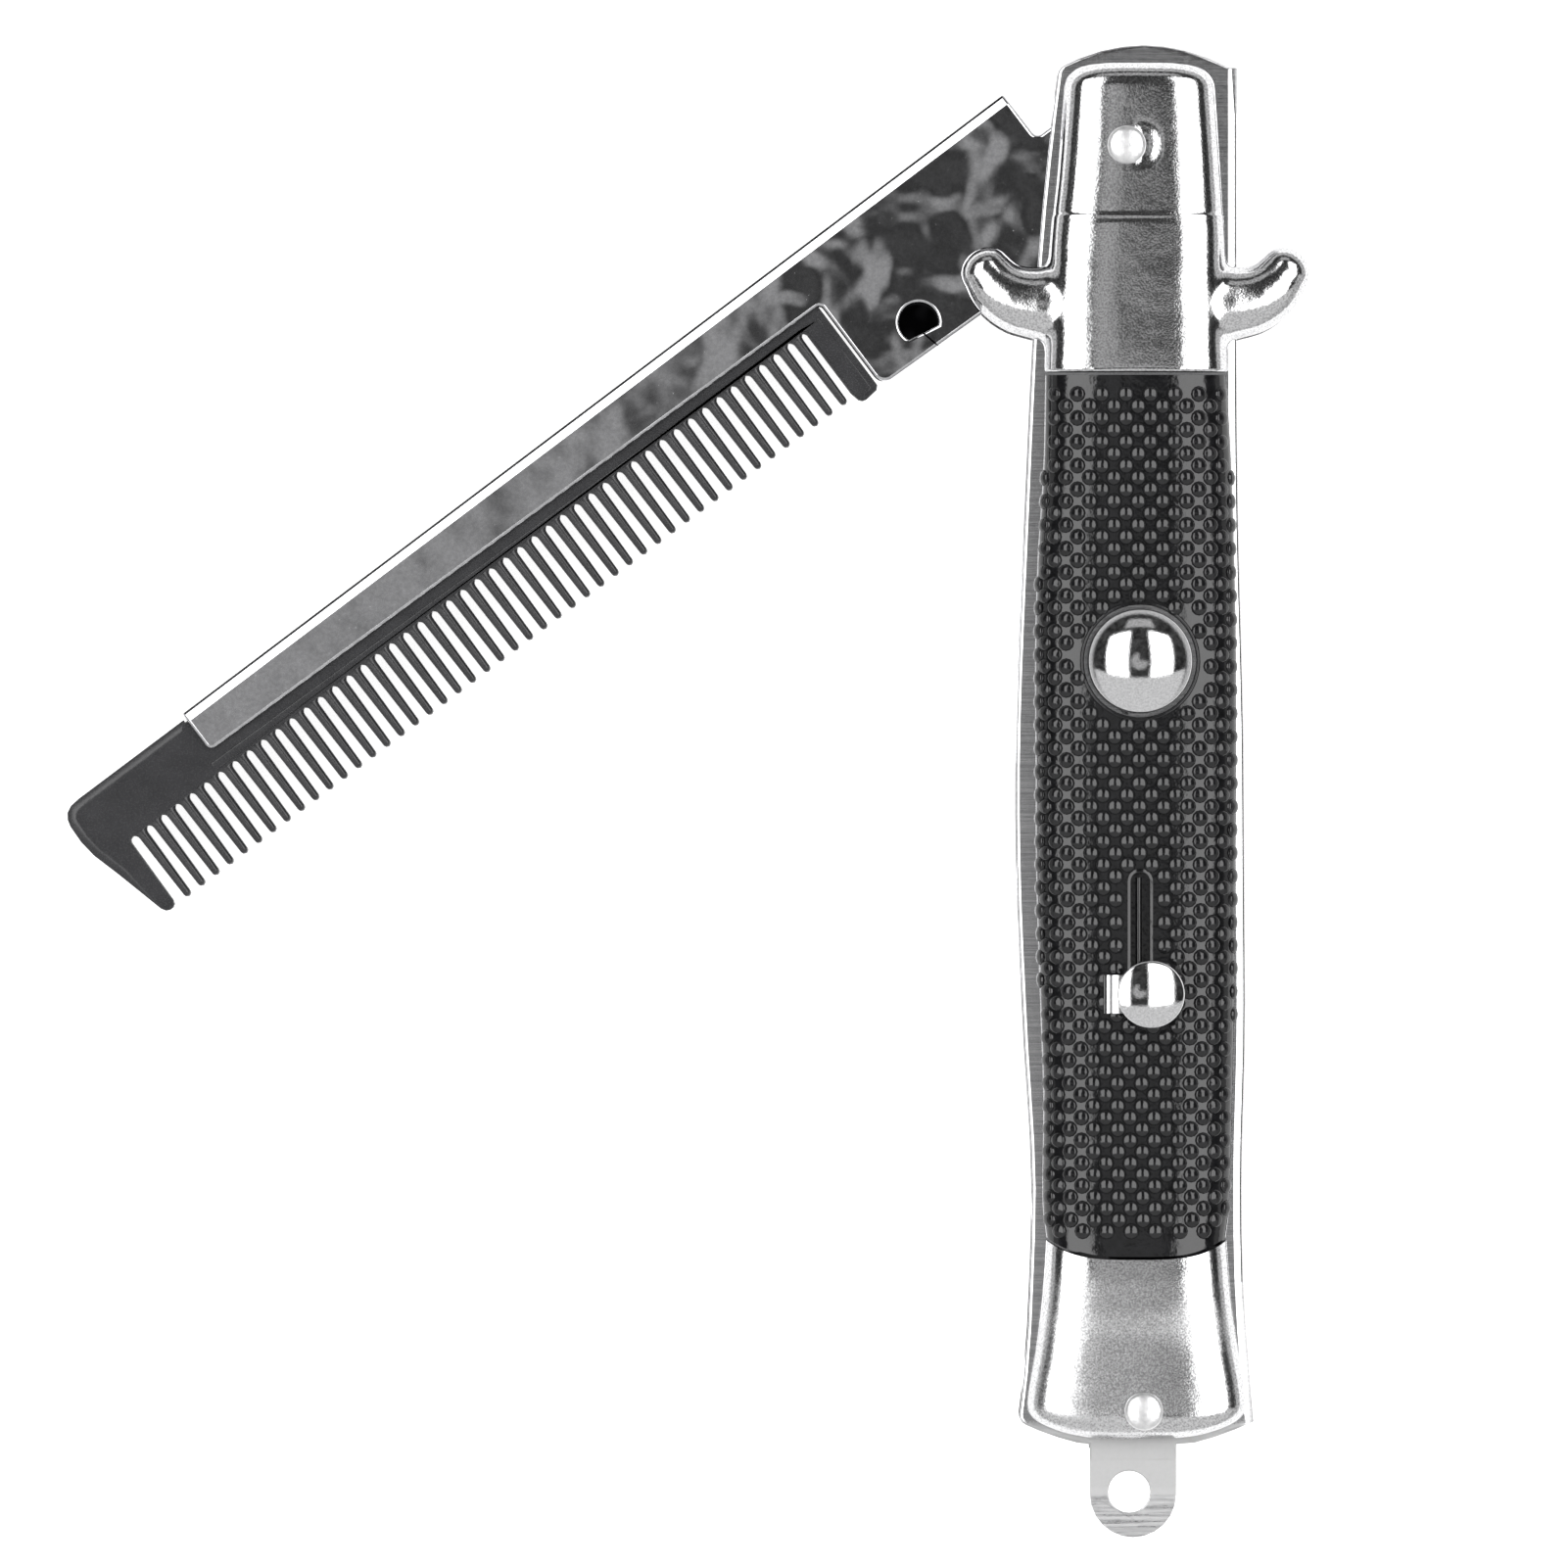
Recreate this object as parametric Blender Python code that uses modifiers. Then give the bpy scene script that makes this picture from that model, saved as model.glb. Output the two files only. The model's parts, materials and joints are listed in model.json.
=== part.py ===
"""Folding pocket comb: a long-toothed comb that swings out of a riveted steel handle.

The comb lies half open on its back: +Z is the handle's thickness, +Y points to the
handle's hinged end and +X to its closed spine. Sizes are in metres. Plan positions of
the handle are measured from the comb's hinge axis, those of the comb along its back.
"""
import math

import bmesh
import bpy
from mathutils import Matrix, Vector

MM = 0.001
WELD_DISTANCE = 0.01 * MM

# Placement: the hinge axis in the finished part, with the box centred on the origin
HINGE = Vector((37.48, 55.21, 7.52)) * MM

# Steel channel: a folded sheet, open on its left side
SHEET = 0.8 * MM
INNER_HALF_GAP = 2.2 * MM
PLATE_TOP = INNER_HALF_GAP + SHEET
BEND_RADIUS = 1.0 * MM
INNER_BEND_RADIUS = 0.35 * MM
RIM_ROUNDING = 0.3
FOOT_RIM_ROUNDING = 0.18
CHANNEL_STATIONS = 30
STRIP_TOP_INSET = 0.75 * MM
STRIP_TOP_RISE = 0.1 * MM
ON_SPINE = 0.05 * MM
TOP_ARC_HEIGHT = 8.68 * MM
BOTTOM_ARC_DEPTH = -111.6 * MM
PLATE_CORNER = 0.9 * MM
WEB_STOP_Y = 5.45 * MM
ROOM_OVERRUN = 6.0
WEB_NOTCH_HALF = 2.1 * MM
CHANNEL_SECTIONS = (
    # y, left edge, spine (mm)
    (6.7, -5.75, 9.50),
    (1.6, -6.40, 9.50),
    (-3.3, -6.93, 9.50),
    (-8.8, -7.43, 9.50),
    (-16.5, -7.93, 9.50),
    (-31.5, -8.62, 9.64),
    (-49.5, -9.33, 10.08),
    (-61.7, -9.33, 10.17),
    (-76.0, -8.73, 10.23),
    (-88.2, -8.04, 9.94),
    (-98.2, -8.27, 10.10),
    (-104.0, -8.60, 10.50),
    (-109.2, -9.20, 10.92),
)

# Lanyard tab at the foot of the front plate
TAB_X = 0.61 * MM
TAB_HALF_WIDTH = 3.69 * MM
TAB_END_Y = -119.10 * MM
TAB_HOLE = Vector((0.28, -115.20)) * MM
TAB_HOLE_RADIUS = 1.8 * MM
TAB_ROOT_DROP = 0.12 * MM
TAB_BACK_START = 0.02 * MM
TAB_COINING = 0.1 * MM
TAB_COINING_START = 0.8 * MM

# Bolsters and scales stand on both plates
SEAT_GAP = 0.25 * MM
SEAT = PLATE_TOP + SEAT_GAP
SCALE_HEIGHT = 3.3 * MM
BOLSTER_HEIGHT = 3.45 * MM
BOLSTER_STEP = 0.12 * MM
SIDE_FULLNESS = 2.7
SECTION_POINTS = 15
TOP_BOLSTER_SECTIONS = (
    # y, left edge, right edge (mm)
    (6.9, -5.25, 7.50),
    (4.7, -5.43, 7.71),
    (-2.5, -5.98, 8.18),
    (-6.0, -6.36, 8.38),
    (-12.2, -6.83, 8.60),
    (-19.4, -7.02, 8.71),
)
CREASE_Y = -6.05 * MM
SCALE_SECTIONS = (
    # y, left edge, right edge (mm)
    (-19.65, -6.94, 8.60),
    (-27.5, -7.10, 9.04),
    (-35.6, -7.60, 9.31),
    (-43.8, -7.81, 9.45),
    (-54.5, -7.75, 9.45),
    (-61.7, -7.73, 9.41),
    (-73.9, -7.36, 9.30),
    (-81.4, -7.11, 9.14),
    (-90.5, -7.17, 8.88),
    (-93.35, -6.85, 8.55),
    (-95.4, -6.80, 8.50),
)
BOTTOM_BOLSTER_SECTIONS = (
    # y, left edge, right edge (mm)
    (-93.2, -6.85, 8.57),
    (-98.4, -7.18, 8.98),
    (-102.7, -7.70, 9.55),
    (-106.4, -8.35, 10.18),
    (-109.4, -8.65, 10.43),
)
TOP_ARCH = 0.25 * MM
SCALE_FOOT_Y = -93.35 * MM
BOLSTER_TOP_Y = -93.60 * MM
SEAM_ARCH = -1.65 * MM
SEAM_MIDDLE = 0.85 * MM
SEAM_HALF = 7.75 * MM
BOLSTER_FOOT_ARCH = -1.2 * MM
ARCH_FLATNESS = 3.5
ARCH_REACH = 9.0 * MM
STATION_PITCH = 4.0 * MM
BOLSTER_ROUNDING = 1.4 * MM

# Guards: one horn on each side of the top bolster, thinning as it curls up
GUARD_PATH = (
    # x outwards from the bolster's middle, y, radius (mm)
    (5.4, -13.6, 3.35),
    (7.6, -13.5, 3.25),
    (10.0, -13.1, 2.95),
    (11.7, -12.1, 2.60),
    (12.9, -10.6, 2.16),
)
GUARD_MIDDLE_X = 0.85 * MM
GUARD_TIP_LENGTH = 0.85
GUARD_FLATNESS = 0.78

# Comb: s runs along its back from the heel's square corner, t from the back to the teeth
COMB_ANGLE = math.radians(217.04)
COMB_HALF = 1.8 * MM
COMB_HINGE_S = -5.67 * MM
COMB_HINGE_T = 9.88 * MM
TANG_T = 4.65 * MM
TANG_CORNER = 0.6 * MM
TANG_LENGTH = 4.6 * MM
HEEL_ROOT_S = 12.9 * MM
HEEL_ROOT_T = 13.9 * MM
HEEL_END_S = 23.35 * MM
HEEL_T = 13.65 * MM
HEEL_CORNER = 1.1 * MM
BAR_END_S = 88.15 * MM
BAR_ROOT_T = 4.92 * MM
BAR_END_T = 3.96 * MM
BAR_CORNER = 0.6 * MM
COMB_SHEET = 0.45 * MM
COMB_BEND_RADIUS = 0.8 * MM
CATCH_HOLE = Vector((17.54, 11.20)) * MM
CATCH_HOLE_RADIUS = 1.68 * MM
CATCH_FLAT = 0.94 * MM
CATCH_TURN = math.radians(10)

# Toothed insert
INSERT_HALF = 1.1 * MM
INSERT_GAP = 0.25 * MM
TOOTH_COUNT = 47
FIRST_TOOTH_S = 26.77 * MM
TOOTH_PITCH = 1.5276 * MM
TOOTH_ROOT_HALF = 0.43 * MM
TOOTH_TIP_HALF = 0.31 * MM
GAP_TOP_T = (5.95 * MM, 5.84 * MM)
TOOTH_TIP_T = (13.03 * MM, 12.80 * MM)
TIP_ROUNDING = 0.3 * MM
ROOT_ROUNDING = 0.12 * MM
END_TOOTH_S = 25.85 * MM
END_TOOTH_TIP_T = 13.78 * MM
NOSE_OUTLINE = (
    # s, t (mm), from the inner side of the last tooth round to the back
    (98.25, 5.84),
    (98.35, 12.40),
    (98.65, 12.75),
    (99.15, 12.75),
    (99.65, 12.20),
    (100.75, 7.80),
    (101.50, 5.10),
    (101.62, 1.90),
    (101.25, 0.95),
    (100.50, 0.50),
    (99.60, 0.42),
)

# Rivets through both plates
RIVET_RADIUS = 1.1 * MM
RIVET_HEAD_RADIUS = 1.65 * MM
RIVET_HEAD_HEIGHT = 0.5 * MM
RIVET_SEAT_GAP = 0.2 * MM
RIVET_RIM = 0.12 * MM
RIVET_CLEARANCE = 0.3 * MM
BOTTOM_RIVET = Vector((1.47, -108.17)) * MM

# Release button
BUTTON_AT = Vector((1.15, -44.1)) * MM
BUTTON_RADIUS = 4.55 * MM
BUTTON_SKIRT = 0.5 * MM
BUTTON_STEP_RADIUS = 4.05 * MM
BUTTON_SKIRT_Z = 6.3 * MM
BUTTON_TOP_Z = 9.1 * MM
BUTTON_STEM_RADIUS = 1.6 * MM
BUTTON_STEM_END_Z = 2.5 * MM
BUTTON_WELL_RADIUS = 5.0 * MM
BUTTON_LEDGE = 0.1 * MM
BUTTON_SKIRT_SLOPE = 0.15 * MM
BUTTON_SKIRT_DEPTH = 0.6 * MM
STEM_CLEARANCE = 0.3 * MM

# Safety slider and its slot
SLOT_X = 1.16 * MM
SLOT_WIDTH = 1.6 * MM
CHANNEL_SLOT_EXTRA = 0.2 * MM
SLOT_TOP_Y = -62.1 * MM
SLOT_FOOT_Y = -74.4 * MM
SLIDER_KNOB = Vector((2.22, -72.6)) * MM
SLIDER_KNOB_RADIUS = 2.78 * MM
SLIDER_KNOB_TOP_Z = 9.55 * MM
SLIDER_KNOB_RISE = 1.45 * MM
SLIDER_PLATE_LEFT = -1.75 * MM
SLIDER_PLATE_RIGHT = 2.8 * MM
SLIDER_PLATE_HALF = 1.63 * MM
SLIDER_PLATE_Z = 7.0 * MM
SLIDER_PLATE_THICK = 0.5 * MM
SLIDER_STEM_WIDTH = 1.0 * MM
SLIDER_STEM_LENGTH = 3.0 * MM
SLIDER_STEM_ROOT = 0.2 * MM

ROUND_SIDES = 24
REACH = 20.0 * MM


def clear_scene():
    for old in list(bpy.data.objects):
        bpy.data.objects.remove(old, do_unlink=True)


def new_collection(name):
    group = bpy.data.collections.new(name)
    bpy.context.scene.collection.children.link(group)
    return group


def finish(name, colour, metallic, roughness):
    """A Principled material in the piece's own colour."""
    made = bpy.data.materials.new(name)
    made.use_nodes = True
    shader = made.node_tree.nodes["Principled BSDF"]
    shader.inputs["Base Color"].default_value = (*colour, 1.0)
    shader.inputs["Metallic"].default_value = metallic
    shader.inputs["Roughness"].default_value = roughness
    return made


def add_object(name, mesh, group):
    made = bpy.data.objects.new(name, mesh)
    group.objects.link(made)
    return made


def solid_outline(name, outline, low, high, group):
    """A flat outline as thick as from low to high, closed and welded."""
    curve = bpy.data.curves.new(name + "_outline", "CURVE")
    curve.dimensions = "2D"
    curve.fill_mode = "BOTH"
    curve.extrude = (high - low) / 2
    spline = curve.splines.new("POLY")
    spline.points.add(len(outline) - 1)
    for point, (x, y) in zip(spline.points, outline):
        point.co = (x, y, 0.0, 1.0)
    spline.use_cyclic_u = True
    flat = add_object(name + "_flat", curve, group)
    mesh = evaluated_mesh(flat)
    mesh.transform(Matrix.Translation((0.0, 0.0, (low + high) / 2)))
    bpy.data.objects.remove(flat, do_unlink=True)
    weld(mesh, flat_caps=True)
    mesh.name = name
    return add_object(name, mesh, group)


def evaluated_mesh(source):
    bpy.context.view_layer.update()
    graph = bpy.context.evaluated_depsgraph_get()
    return bpy.data.meshes.new_from_object(source.evaluated_get(graph))


def weld(mesh, flat_caps=False):
    """Join the loose caps to their walls and turn every face outwards."""
    work = bmesh.new()
    work.from_mesh(mesh)
    bmesh.ops.remove_doubles(work, verts=work.verts, dist=WELD_DISTANCE)
    if flat_caps:
        inner = [edge for edge in work.edges if len(edge.link_faces) == 2 and edge.calc_face_angle() < 0.001]
        bmesh.ops.dissolve_edges(work, edges=inner, use_verts=False)
    bmesh.ops.recalc_face_normals(work, faces=work.faces)
    work.to_mesh(mesh)
    work.free()


def disc(name, centre, radius, low, high, group, sides=ROUND_SIDES):
    """A cylinder standing on a point of the plan."""
    work = bmesh.new()
    bmesh.ops.create_cone(
        work, cap_ends=True, segments=sides, radius1=radius, radius2=radius, depth=high - low)
    bmesh.ops.translate(work, verts=work.verts, vec=(centre[0], centre[1], (low + high) / 2))
    mesh = bpy.data.meshes.new(name)
    work.to_mesh(mesh)
    work.free()
    return add_object(name, mesh, group)


def block(name, low, high, group):
    """A box between two corners."""
    work = bmesh.new()
    bmesh.ops.create_cube(work, size=1.0)
    size = Vector(high) - Vector(low)
    bmesh.ops.scale(work, verts=work.verts, vec=size)
    bmesh.ops.translate(work, verts=work.verts, vec=(Vector(high) + Vector(low)) / 2)
    mesh = bpy.data.meshes.new(name)
    work.to_mesh(mesh)
    work.free()
    return add_object(name, mesh, group)


def turned(name, centre, profile, group, sides=ROUND_SIDES):
    """A round piece turned from (radius, z) points, listed from the axis at the top down."""
    work = bmesh.new()
    points = [work.verts.new((radius, 0.0, z)) for radius, z in profile]
    for above, below in zip(points, points[1:]):
        work.edges.new((above, below))
    mesh = bpy.data.meshes.new(name)
    work.to_mesh(mesh)
    work.free()
    made = add_object(name, mesh, group)
    screw = made.modifiers.new("Turn", "SCREW")
    screw.steps = sides
    screw.render_steps = sides
    screw.use_merge_vertices = True
    screw.merge_threshold = WELD_DISTANCE
    whole = evaluated_mesh(made)
    bpy.data.objects.remove(made, do_unlink=True)
    whole.transform(Matrix.Translation((centre[0], centre[1], 0.0)))
    weld(whole)
    whole.name = name
    return add_object(name, whole, group)


def combine(target, other, operation):
    """Boolean with the exact solver; the other object is used up."""
    step = target.modifiers.new(operation.title(), "BOOLEAN")
    step.object = other
    step.operation = operation
    step.solver = "EXACT"
    result = evaluated_mesh(target)
    target.modifiers.remove(step)
    old = target.data
    target.data = result
    bpy.data.meshes.remove(old)
    result.name = target.name


def hide_cutter(cutter):
    cutter.hide_render = True
    cutter.display_type = "WIRE"


def cut(target, *cutters):
    for cutter in cutters:
        hide_cutter(cutter)
        combine(target, cutter, "DIFFERENCE")


def join(target, *others):
    for other in others:
        combine(target, other, "UNION")
        bpy.data.objects.remove(other, do_unlink=True)


def bevel_edges(mesh, width, segments, chosen):
    """Round the edges for which chosen(edge) is true."""
    work = bmesh.new()
    work.from_mesh(mesh)
    edges = [edge for edge in work.edges if chosen(edge)]
    bmesh.ops.bevel(
        work, geom=edges, offset=width, segments=segments, profile=0.5,
        affect="EDGES", clamp_overlap=True)
    work.to_mesh(mesh)
    work.free()


def smooth_between(sections, y):
    """The columns after y at a height, on a smooth curve through the sections."""
    rows = sorted(sections)
    y = min(max(y, rows[0][0]), rows[-1][0])
    index = next(i for i in range(len(rows) - 1) if y <= rows[i + 1][0])
    before, start, end, after = (
        rows[max(index - 1, 0)], rows[index], rows[index + 1], rows[min(index + 2, len(rows) - 1)])
    share = (y - start[0]) / (end[0] - start[0])
    values = []
    for column in range(1, len(start)):
        slope_in = (end[column] - before[column]) / (end[0] - before[0]) * (end[0] - start[0])
        slope_out = (after[column] - start[column]) / (after[0] - start[0]) * (end[0] - start[0])
        values.append(
            (2 * share ** 3 - 3 * share ** 2 + 1) * start[column]
            + (share ** 3 - 2 * share ** 2 + share) * slope_in
            + (3 * share ** 2 - 2 * share ** 3) * end[column]
            + (share ** 3 - share ** 2) * slope_out)
    return values


def spaced(first, last, count):
    return [first + (last - first) * step / (count - 1) for step in range(count)]


def arc_through(start, middle_y, end, count):
    """Points of a flat arc between two corners whose crown is at middle_y."""
    points = []
    for share in spaced(0.0, 1.0, count):
        x = start[0] + (end[0] - start[0]) * share
        base = start[1] + (end[1] - start[1]) * share
        crown = middle_y - (start[1] + end[1]) / 2
        points.append((x, base + crown * (1 - (2 * share - 1) ** 2)))
    return points


def rounded_corner(before, corner, after, radius, count=4):
    """Points of a fillet that replaces a corner."""
    corner = Vector(corner)
    into = (Vector(before) - corner).normalized()
    out = (Vector(after) - corner).normalized()
    half = into.angle(out) / 2
    centre = corner + (into + out).normalized() * (radius / math.sin(half))
    first = corner + into * (radius / math.tan(half)) - centre
    last = corner + out * (radius / math.tan(half)) - centre
    points = []
    for share in spaced(0.0, 1.0, count):
        ray = first.lerp(last, share).normalized() * radius
        points.append(tuple(centre + ray))
    return points


# Steel channel

def channel_outline():
    """The handle's plan, clockwise from the top of its left edge."""
    ys = spaced(CHANNEL_SECTIONS[0][0], CHANNEL_SECTIONS[-1][0], CHANNEL_STATIONS)
    left = []
    right = []
    for y in ys:
        left_x, right_x = smooth_between(CHANNEL_SECTIONS, y)
        left.append((left_x * MM, y * MM))
        right.append((right_x * MM, y * MM))
    strip_top = (right[0][0] - STRIP_TOP_INSET, right[0][1] + STRIP_TOP_RISE)
    crown = arc_through(left[0], TOP_ARC_HEIGHT, strip_top, 9)
    top = rounded_corner(left[1], left[0], crown[1], PLATE_CORNER) + crown[1:]
    tab_left = TAB_X - TAB_HALF_WIDTH
    tab_right = TAB_X + TAB_HALF_WIDTH
    tab_arc_y = TAB_END_Y + TAB_HALF_WIDTH
    foot = arc_through(right[-1], BOTTOM_ARC_DEPTH, left[-1], 13)
    foot_right = [point for point in foot[1:] if point[0] > tab_right]
    foot_left = [point for point in foot[:-1] if point[0] < tab_left]
    foot_left += rounded_corner(foot_left[-1], left[-1], left[-2], PLATE_CORNER)
    root_y = foot_right[-1][1] - TAB_ROOT_DROP
    tab = [(tab_right, root_y)]
    for angle in spaced(0.0, -math.pi, 13):
        tab.append((TAB_X + TAB_HALF_WIDTH * math.cos(angle),
                    tab_arc_y + TAB_HALF_WIDTH * math.sin(angle)))
    tab.append((tab_left, root_y))
    return top + right + foot_right + tab + foot_left + left[-2:0:-1]


def weighted_bevel(target, width, segments, weight_of):
    """A Bevel modifier whose width on each edge is its weight's share, applied."""
    mesh = target.data
    weights = mesh.attributes.new("bevel_weight_edge", "FLOAT", "EDGE")
    for edge in mesh.edges:
        ends = [mesh.vertices[index].co for index in edge.vertices]
        weights.data[edge.index].value = weight_of(*ends)
    step = target.modifiers.new("Rounding", "BEVEL")
    step.limit_method = "WEIGHT"
    step.width = width
    step.segments = segments
    result = evaluated_mesh(target)
    target.modifiers.remove(step)
    target.data = result
    bpy.data.meshes.remove(mesh)
    result.name = target.name


def channel_weight(first, second):
    """Full bend along the spine, a fine rolled rim elsewhere, nothing on upright edges."""
    if abs(first.z - second.z) > SHEET:
        return 0.0
    middle = (first + second) / 2
    if middle.y < BOTTOM_ARC_DEPTH:
        return FOOT_RIM_ROUNDING
    spine = smooth_between(CHANNEL_SECTIONS, middle.y / MM)[1] * MM
    on_spine = abs(middle.x - spine) < ON_SPINE
    return 1.0 if on_spine else RIM_ROUNDING


def channel_room():
    """The hollow of the folded sheet, open to the left, top and bottom."""
    ys = [CHANNEL_SECTIONS[0][0] + ROOM_OVERRUN]
    ys += spaced(CHANNEL_SECTIONS[0][0], CHANNEL_SECTIONS[-1][0], CHANNEL_STATIONS)
    ys.append(CHANNEL_SECTIONS[-1][0] - ROOM_OVERRUN)
    web = [(smooth_between(CHANNEL_SECTIONS, y)[1] * MM - SHEET, y * MM) for y in ys]
    return [(-REACH, ys[-1] * MM), (-REACH, ys[0] * MM)] + web


def make_channel(parts, cutters):
    channel = solid_outline("channel", channel_outline(), -PLATE_TOP, PLATE_TOP, parts)
    weighted_bevel(channel, BEND_RADIUS, 3, channel_weight)
    room = solid_outline("channel_room", channel_room(), -INNER_HALF_GAP, INNER_HALF_GAP, cutters)
    bevel_edges(room.data, INNER_BEND_RADIUS, 2, lambda edge: (
        edge.verts[0].co.x > 0 and edge.verts[1].co.x > 0
        and abs(edge.verts[0].co.z - edge.verts[1].co.z) < SHEET
        and abs(edge.verts[0].co.y - edge.verts[1].co.y) > SHEET))
    notch = block(
        "web_notch", (BEND_RADIUS, WEB_STOP_Y, -WEB_NOTCH_HALF), (REACH, REACH, WEB_NOTCH_HALF), cutters)
    behind_tab = block(
        "behind_tab", (-REACH, -REACH * 7, -REACH),
        (REACH, BOTTOM_ARC_DEPTH - TAB_BACK_START, INNER_HALF_GAP), cutters)
    coining = block(
        "tab_coining", (-REACH, -REACH * 7, PLATE_TOP - TAB_COINING),
        (REACH, BOTTOM_ARC_DEPTH - TAB_COINING_START, REACH), cutters)
    hole = disc("tab_hole", TAB_HOLE, TAB_HOLE_RADIUS, 0.0, PLATE_TOP * 2, cutters, sides=28)
    wide = RIVET_RADIUS + RIVET_CLEARANCE
    pivot_hole = disc("channel_pivot_hole", (0, 0), wide, -REACH, REACH, cutters)
    foot_hole = disc("channel_foot_hole", BOTTOM_RIVET, wide, -REACH, REACH, cutters)
    stem_hole = disc("button_stem_hole", BUTTON_AT, BUTTON_STEM_RADIUS + STEM_CLEARANCE, 0.0, REACH, cutters)
    slot = slot_cutter("channel_slot", SLOT_WIDTH + CHANNEL_SLOT_EXTRA, 0.0, cutters)
    cut(channel, room, notch, behind_tab, hole, pivot_hole, foot_hole, stem_hole, slot, coining)
    return channel


def slot_cutter(name, width, low, cutters):
    """A round-ended slot for the safety slider's stem."""
    half = width / 2
    outline = []
    for angle in spaced(0.0, math.pi, 7):
        outline.append((SLOT_X + half * math.cos(angle), SLOT_TOP_Y - half + half * math.sin(angle)))
    for angle in spaced(math.pi, 2 * math.pi, 7):
        outline.append((SLOT_X + half * math.cos(angle), SLOT_FOOT_Y + half + half * math.sin(angle)))
    return solid_outline(name, outline, low, REACH, cutters)


# Bolsters and scales

def section_ring(y, left, right, height, arch):
    """One arched cross-section, from its right foot over the crown to its left foot."""
    middle = (left + right) / 2
    half = (right - left) / 2
    ring = []
    for angle in spaced(0.0, math.pi, SECTION_POINTS):
        side = abs(math.cos(angle)) ** (2 / SIDE_FULLNESS) * (1 if math.cos(angle) > 0 else -1)
        rise = max(math.sin(angle), 0.0) ** (2 / SIDE_FULLNESS)
        lead = arch * (1 - abs(side) ** ARCH_FLATNESS)
        ring.append((middle + half * side, y + lead, SEAT + height * rise))
    return ring


def loft(name, rings, group):
    """A closed skin over rings with equal numbers of points."""
    work = bmesh.new()
    rows = [[work.verts.new(point) for point in ring] for ring in rings]
    for above, below in zip(rows, rows[1:]):
        for index in range(len(above)):
            following = (index + 1) % len(above)
            work.faces.new((above[index], above[following], below[following], below[index]))
    work.faces.new(rows[0])
    work.faces.new(reversed(rows[-1]))
    bmesh.ops.recalc_face_normals(work, faces=work.faces)
    mesh = bpy.data.meshes.new(name)
    work.to_mesh(mesh)
    work.free()
    return add_object(name, mesh, group)


def arch_at(y, top_y, foot_y, top_arch, foot_arch):
    """How far a section's crown leads its feet: set at both ends, straight between."""
    near_top = max(0.0, 1 - (top_y - y) / ARCH_REACH)
    near_foot = max(0.0, 1 - (y - foot_y) / ARCH_REACH)
    return top_arch * near_top + foot_arch * near_foot


def beside_seam(name, y, far_y, cutters):
    """Everything on one side of the curved seam between scale and bottom bolster."""
    outline = []
    for share in spaced(-1.0, 1.0, 17):
        lead = SEAM_ARCH * (1 - abs(share) ** ARCH_FLATNESS)
        outline.append((SEAM_MIDDLE + SEAM_HALF * share, y + lead))
    outline += [(REACH, y), (REACH, far_y), (-REACH, far_y), (-REACH, y)]
    return solid_outline(name, outline, -REACH, REACH, cutters)


def domed_bar(name, sections, height_at, arches, rounding, group):
    """A domed bar; rounding gives the edge radius at its top and foot."""
    top_y = sections[0][0] * MM
    foot_y = sections[-1][0] * MM
    count = max(4, round((top_y - foot_y) / STATION_PITCH))
    ys = spaced(top_y - rounding[0], foot_y + rounding[1], count)
    stations = [(y, 0.0, 1.0) for y in ys]
    rolled = spaced(math.radians(12), math.radians(68), 4)
    top = []
    foot = []
    for angle in rolled:
        inset = 1 - math.sin(angle)
        top.append((top_y - rounding[0] * (1 - math.cos(angle)), rounding[0] * inset, math.sin(angle)))
        foot.append((foot_y + rounding[1] * (1 - math.cos(angle)), rounding[1] * inset, math.sin(angle)))
    if rounding[0] > 0:
        stations = top + stations
    if rounding[1] > 0:
        stations = stations + foot[::-1]
    rings = []
    for y, inset, share in stations:
        left, right = smooth_between(sections, y / MM)
        radius = rounding[0] if y > (top_y + foot_y) / 2 else rounding[1]
        height = height_at(y) - radius * (1 - share)
        arch = arch_at(y, top_y, foot_y, *arches)
        rings.append(section_ring(y, left * MM + inset, right * MM - inset, height, arch))
    return loft(name, rings, group)


def bolster_height(y):
    return BOLSTER_HEIGHT - (BOLSTER_STEP if y > CREASE_Y else 0.0)


def guard(name, side, group):
    """A tapering horn with a round tip, as a tube along its path, lower than it is wide."""
    curve = bpy.data.curves.new(name, "CURVE")
    curve.dimensions = "3D"
    curve.bevel_depth = 1.0 * MM
    curve.bevel_resolution = 3
    curve.use_fill_caps = True
    path = [Vector((x, y, radius)) for x, y, radius in GUARD_PATH]
    heading = (path[-1].xy - path[-2].xy).normalized()
    tip_radius = path[-1].z
    for angle in spaced(math.radians(25), math.radians(80), 4):
        ahead = path[len(GUARD_PATH) - 1].xy + heading * tip_radius * GUARD_TIP_LENGTH * math.sin(angle)
        path.append(Vector((ahead.x, ahead.y, tip_radius * math.cos(angle))))
    spline = curve.splines.new("POLY")
    spline.points.add(len(path) - 1)
    for point, (x, y, radius) in zip(spline.points, path):
        point.co = (GUARD_MIDDLE_X + side * x * MM, y * MM, SEAT, 1.0)
        point.radius = radius
    horn = add_object(name + "_curve", curve, group)
    mesh = evaluated_mesh(horn)
    bpy.data.objects.remove(horn, do_unlink=True)
    weld(mesh)
    seat = Matrix.Translation((0.0, 0.0, SEAT))
    mesh.transform(seat @ Matrix.Diagonal((1.0, 1.0, GUARD_FLATNESS, 1.0)) @ seat.inverted())
    mesh.name = name
    return add_object(name, mesh, group)


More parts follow.
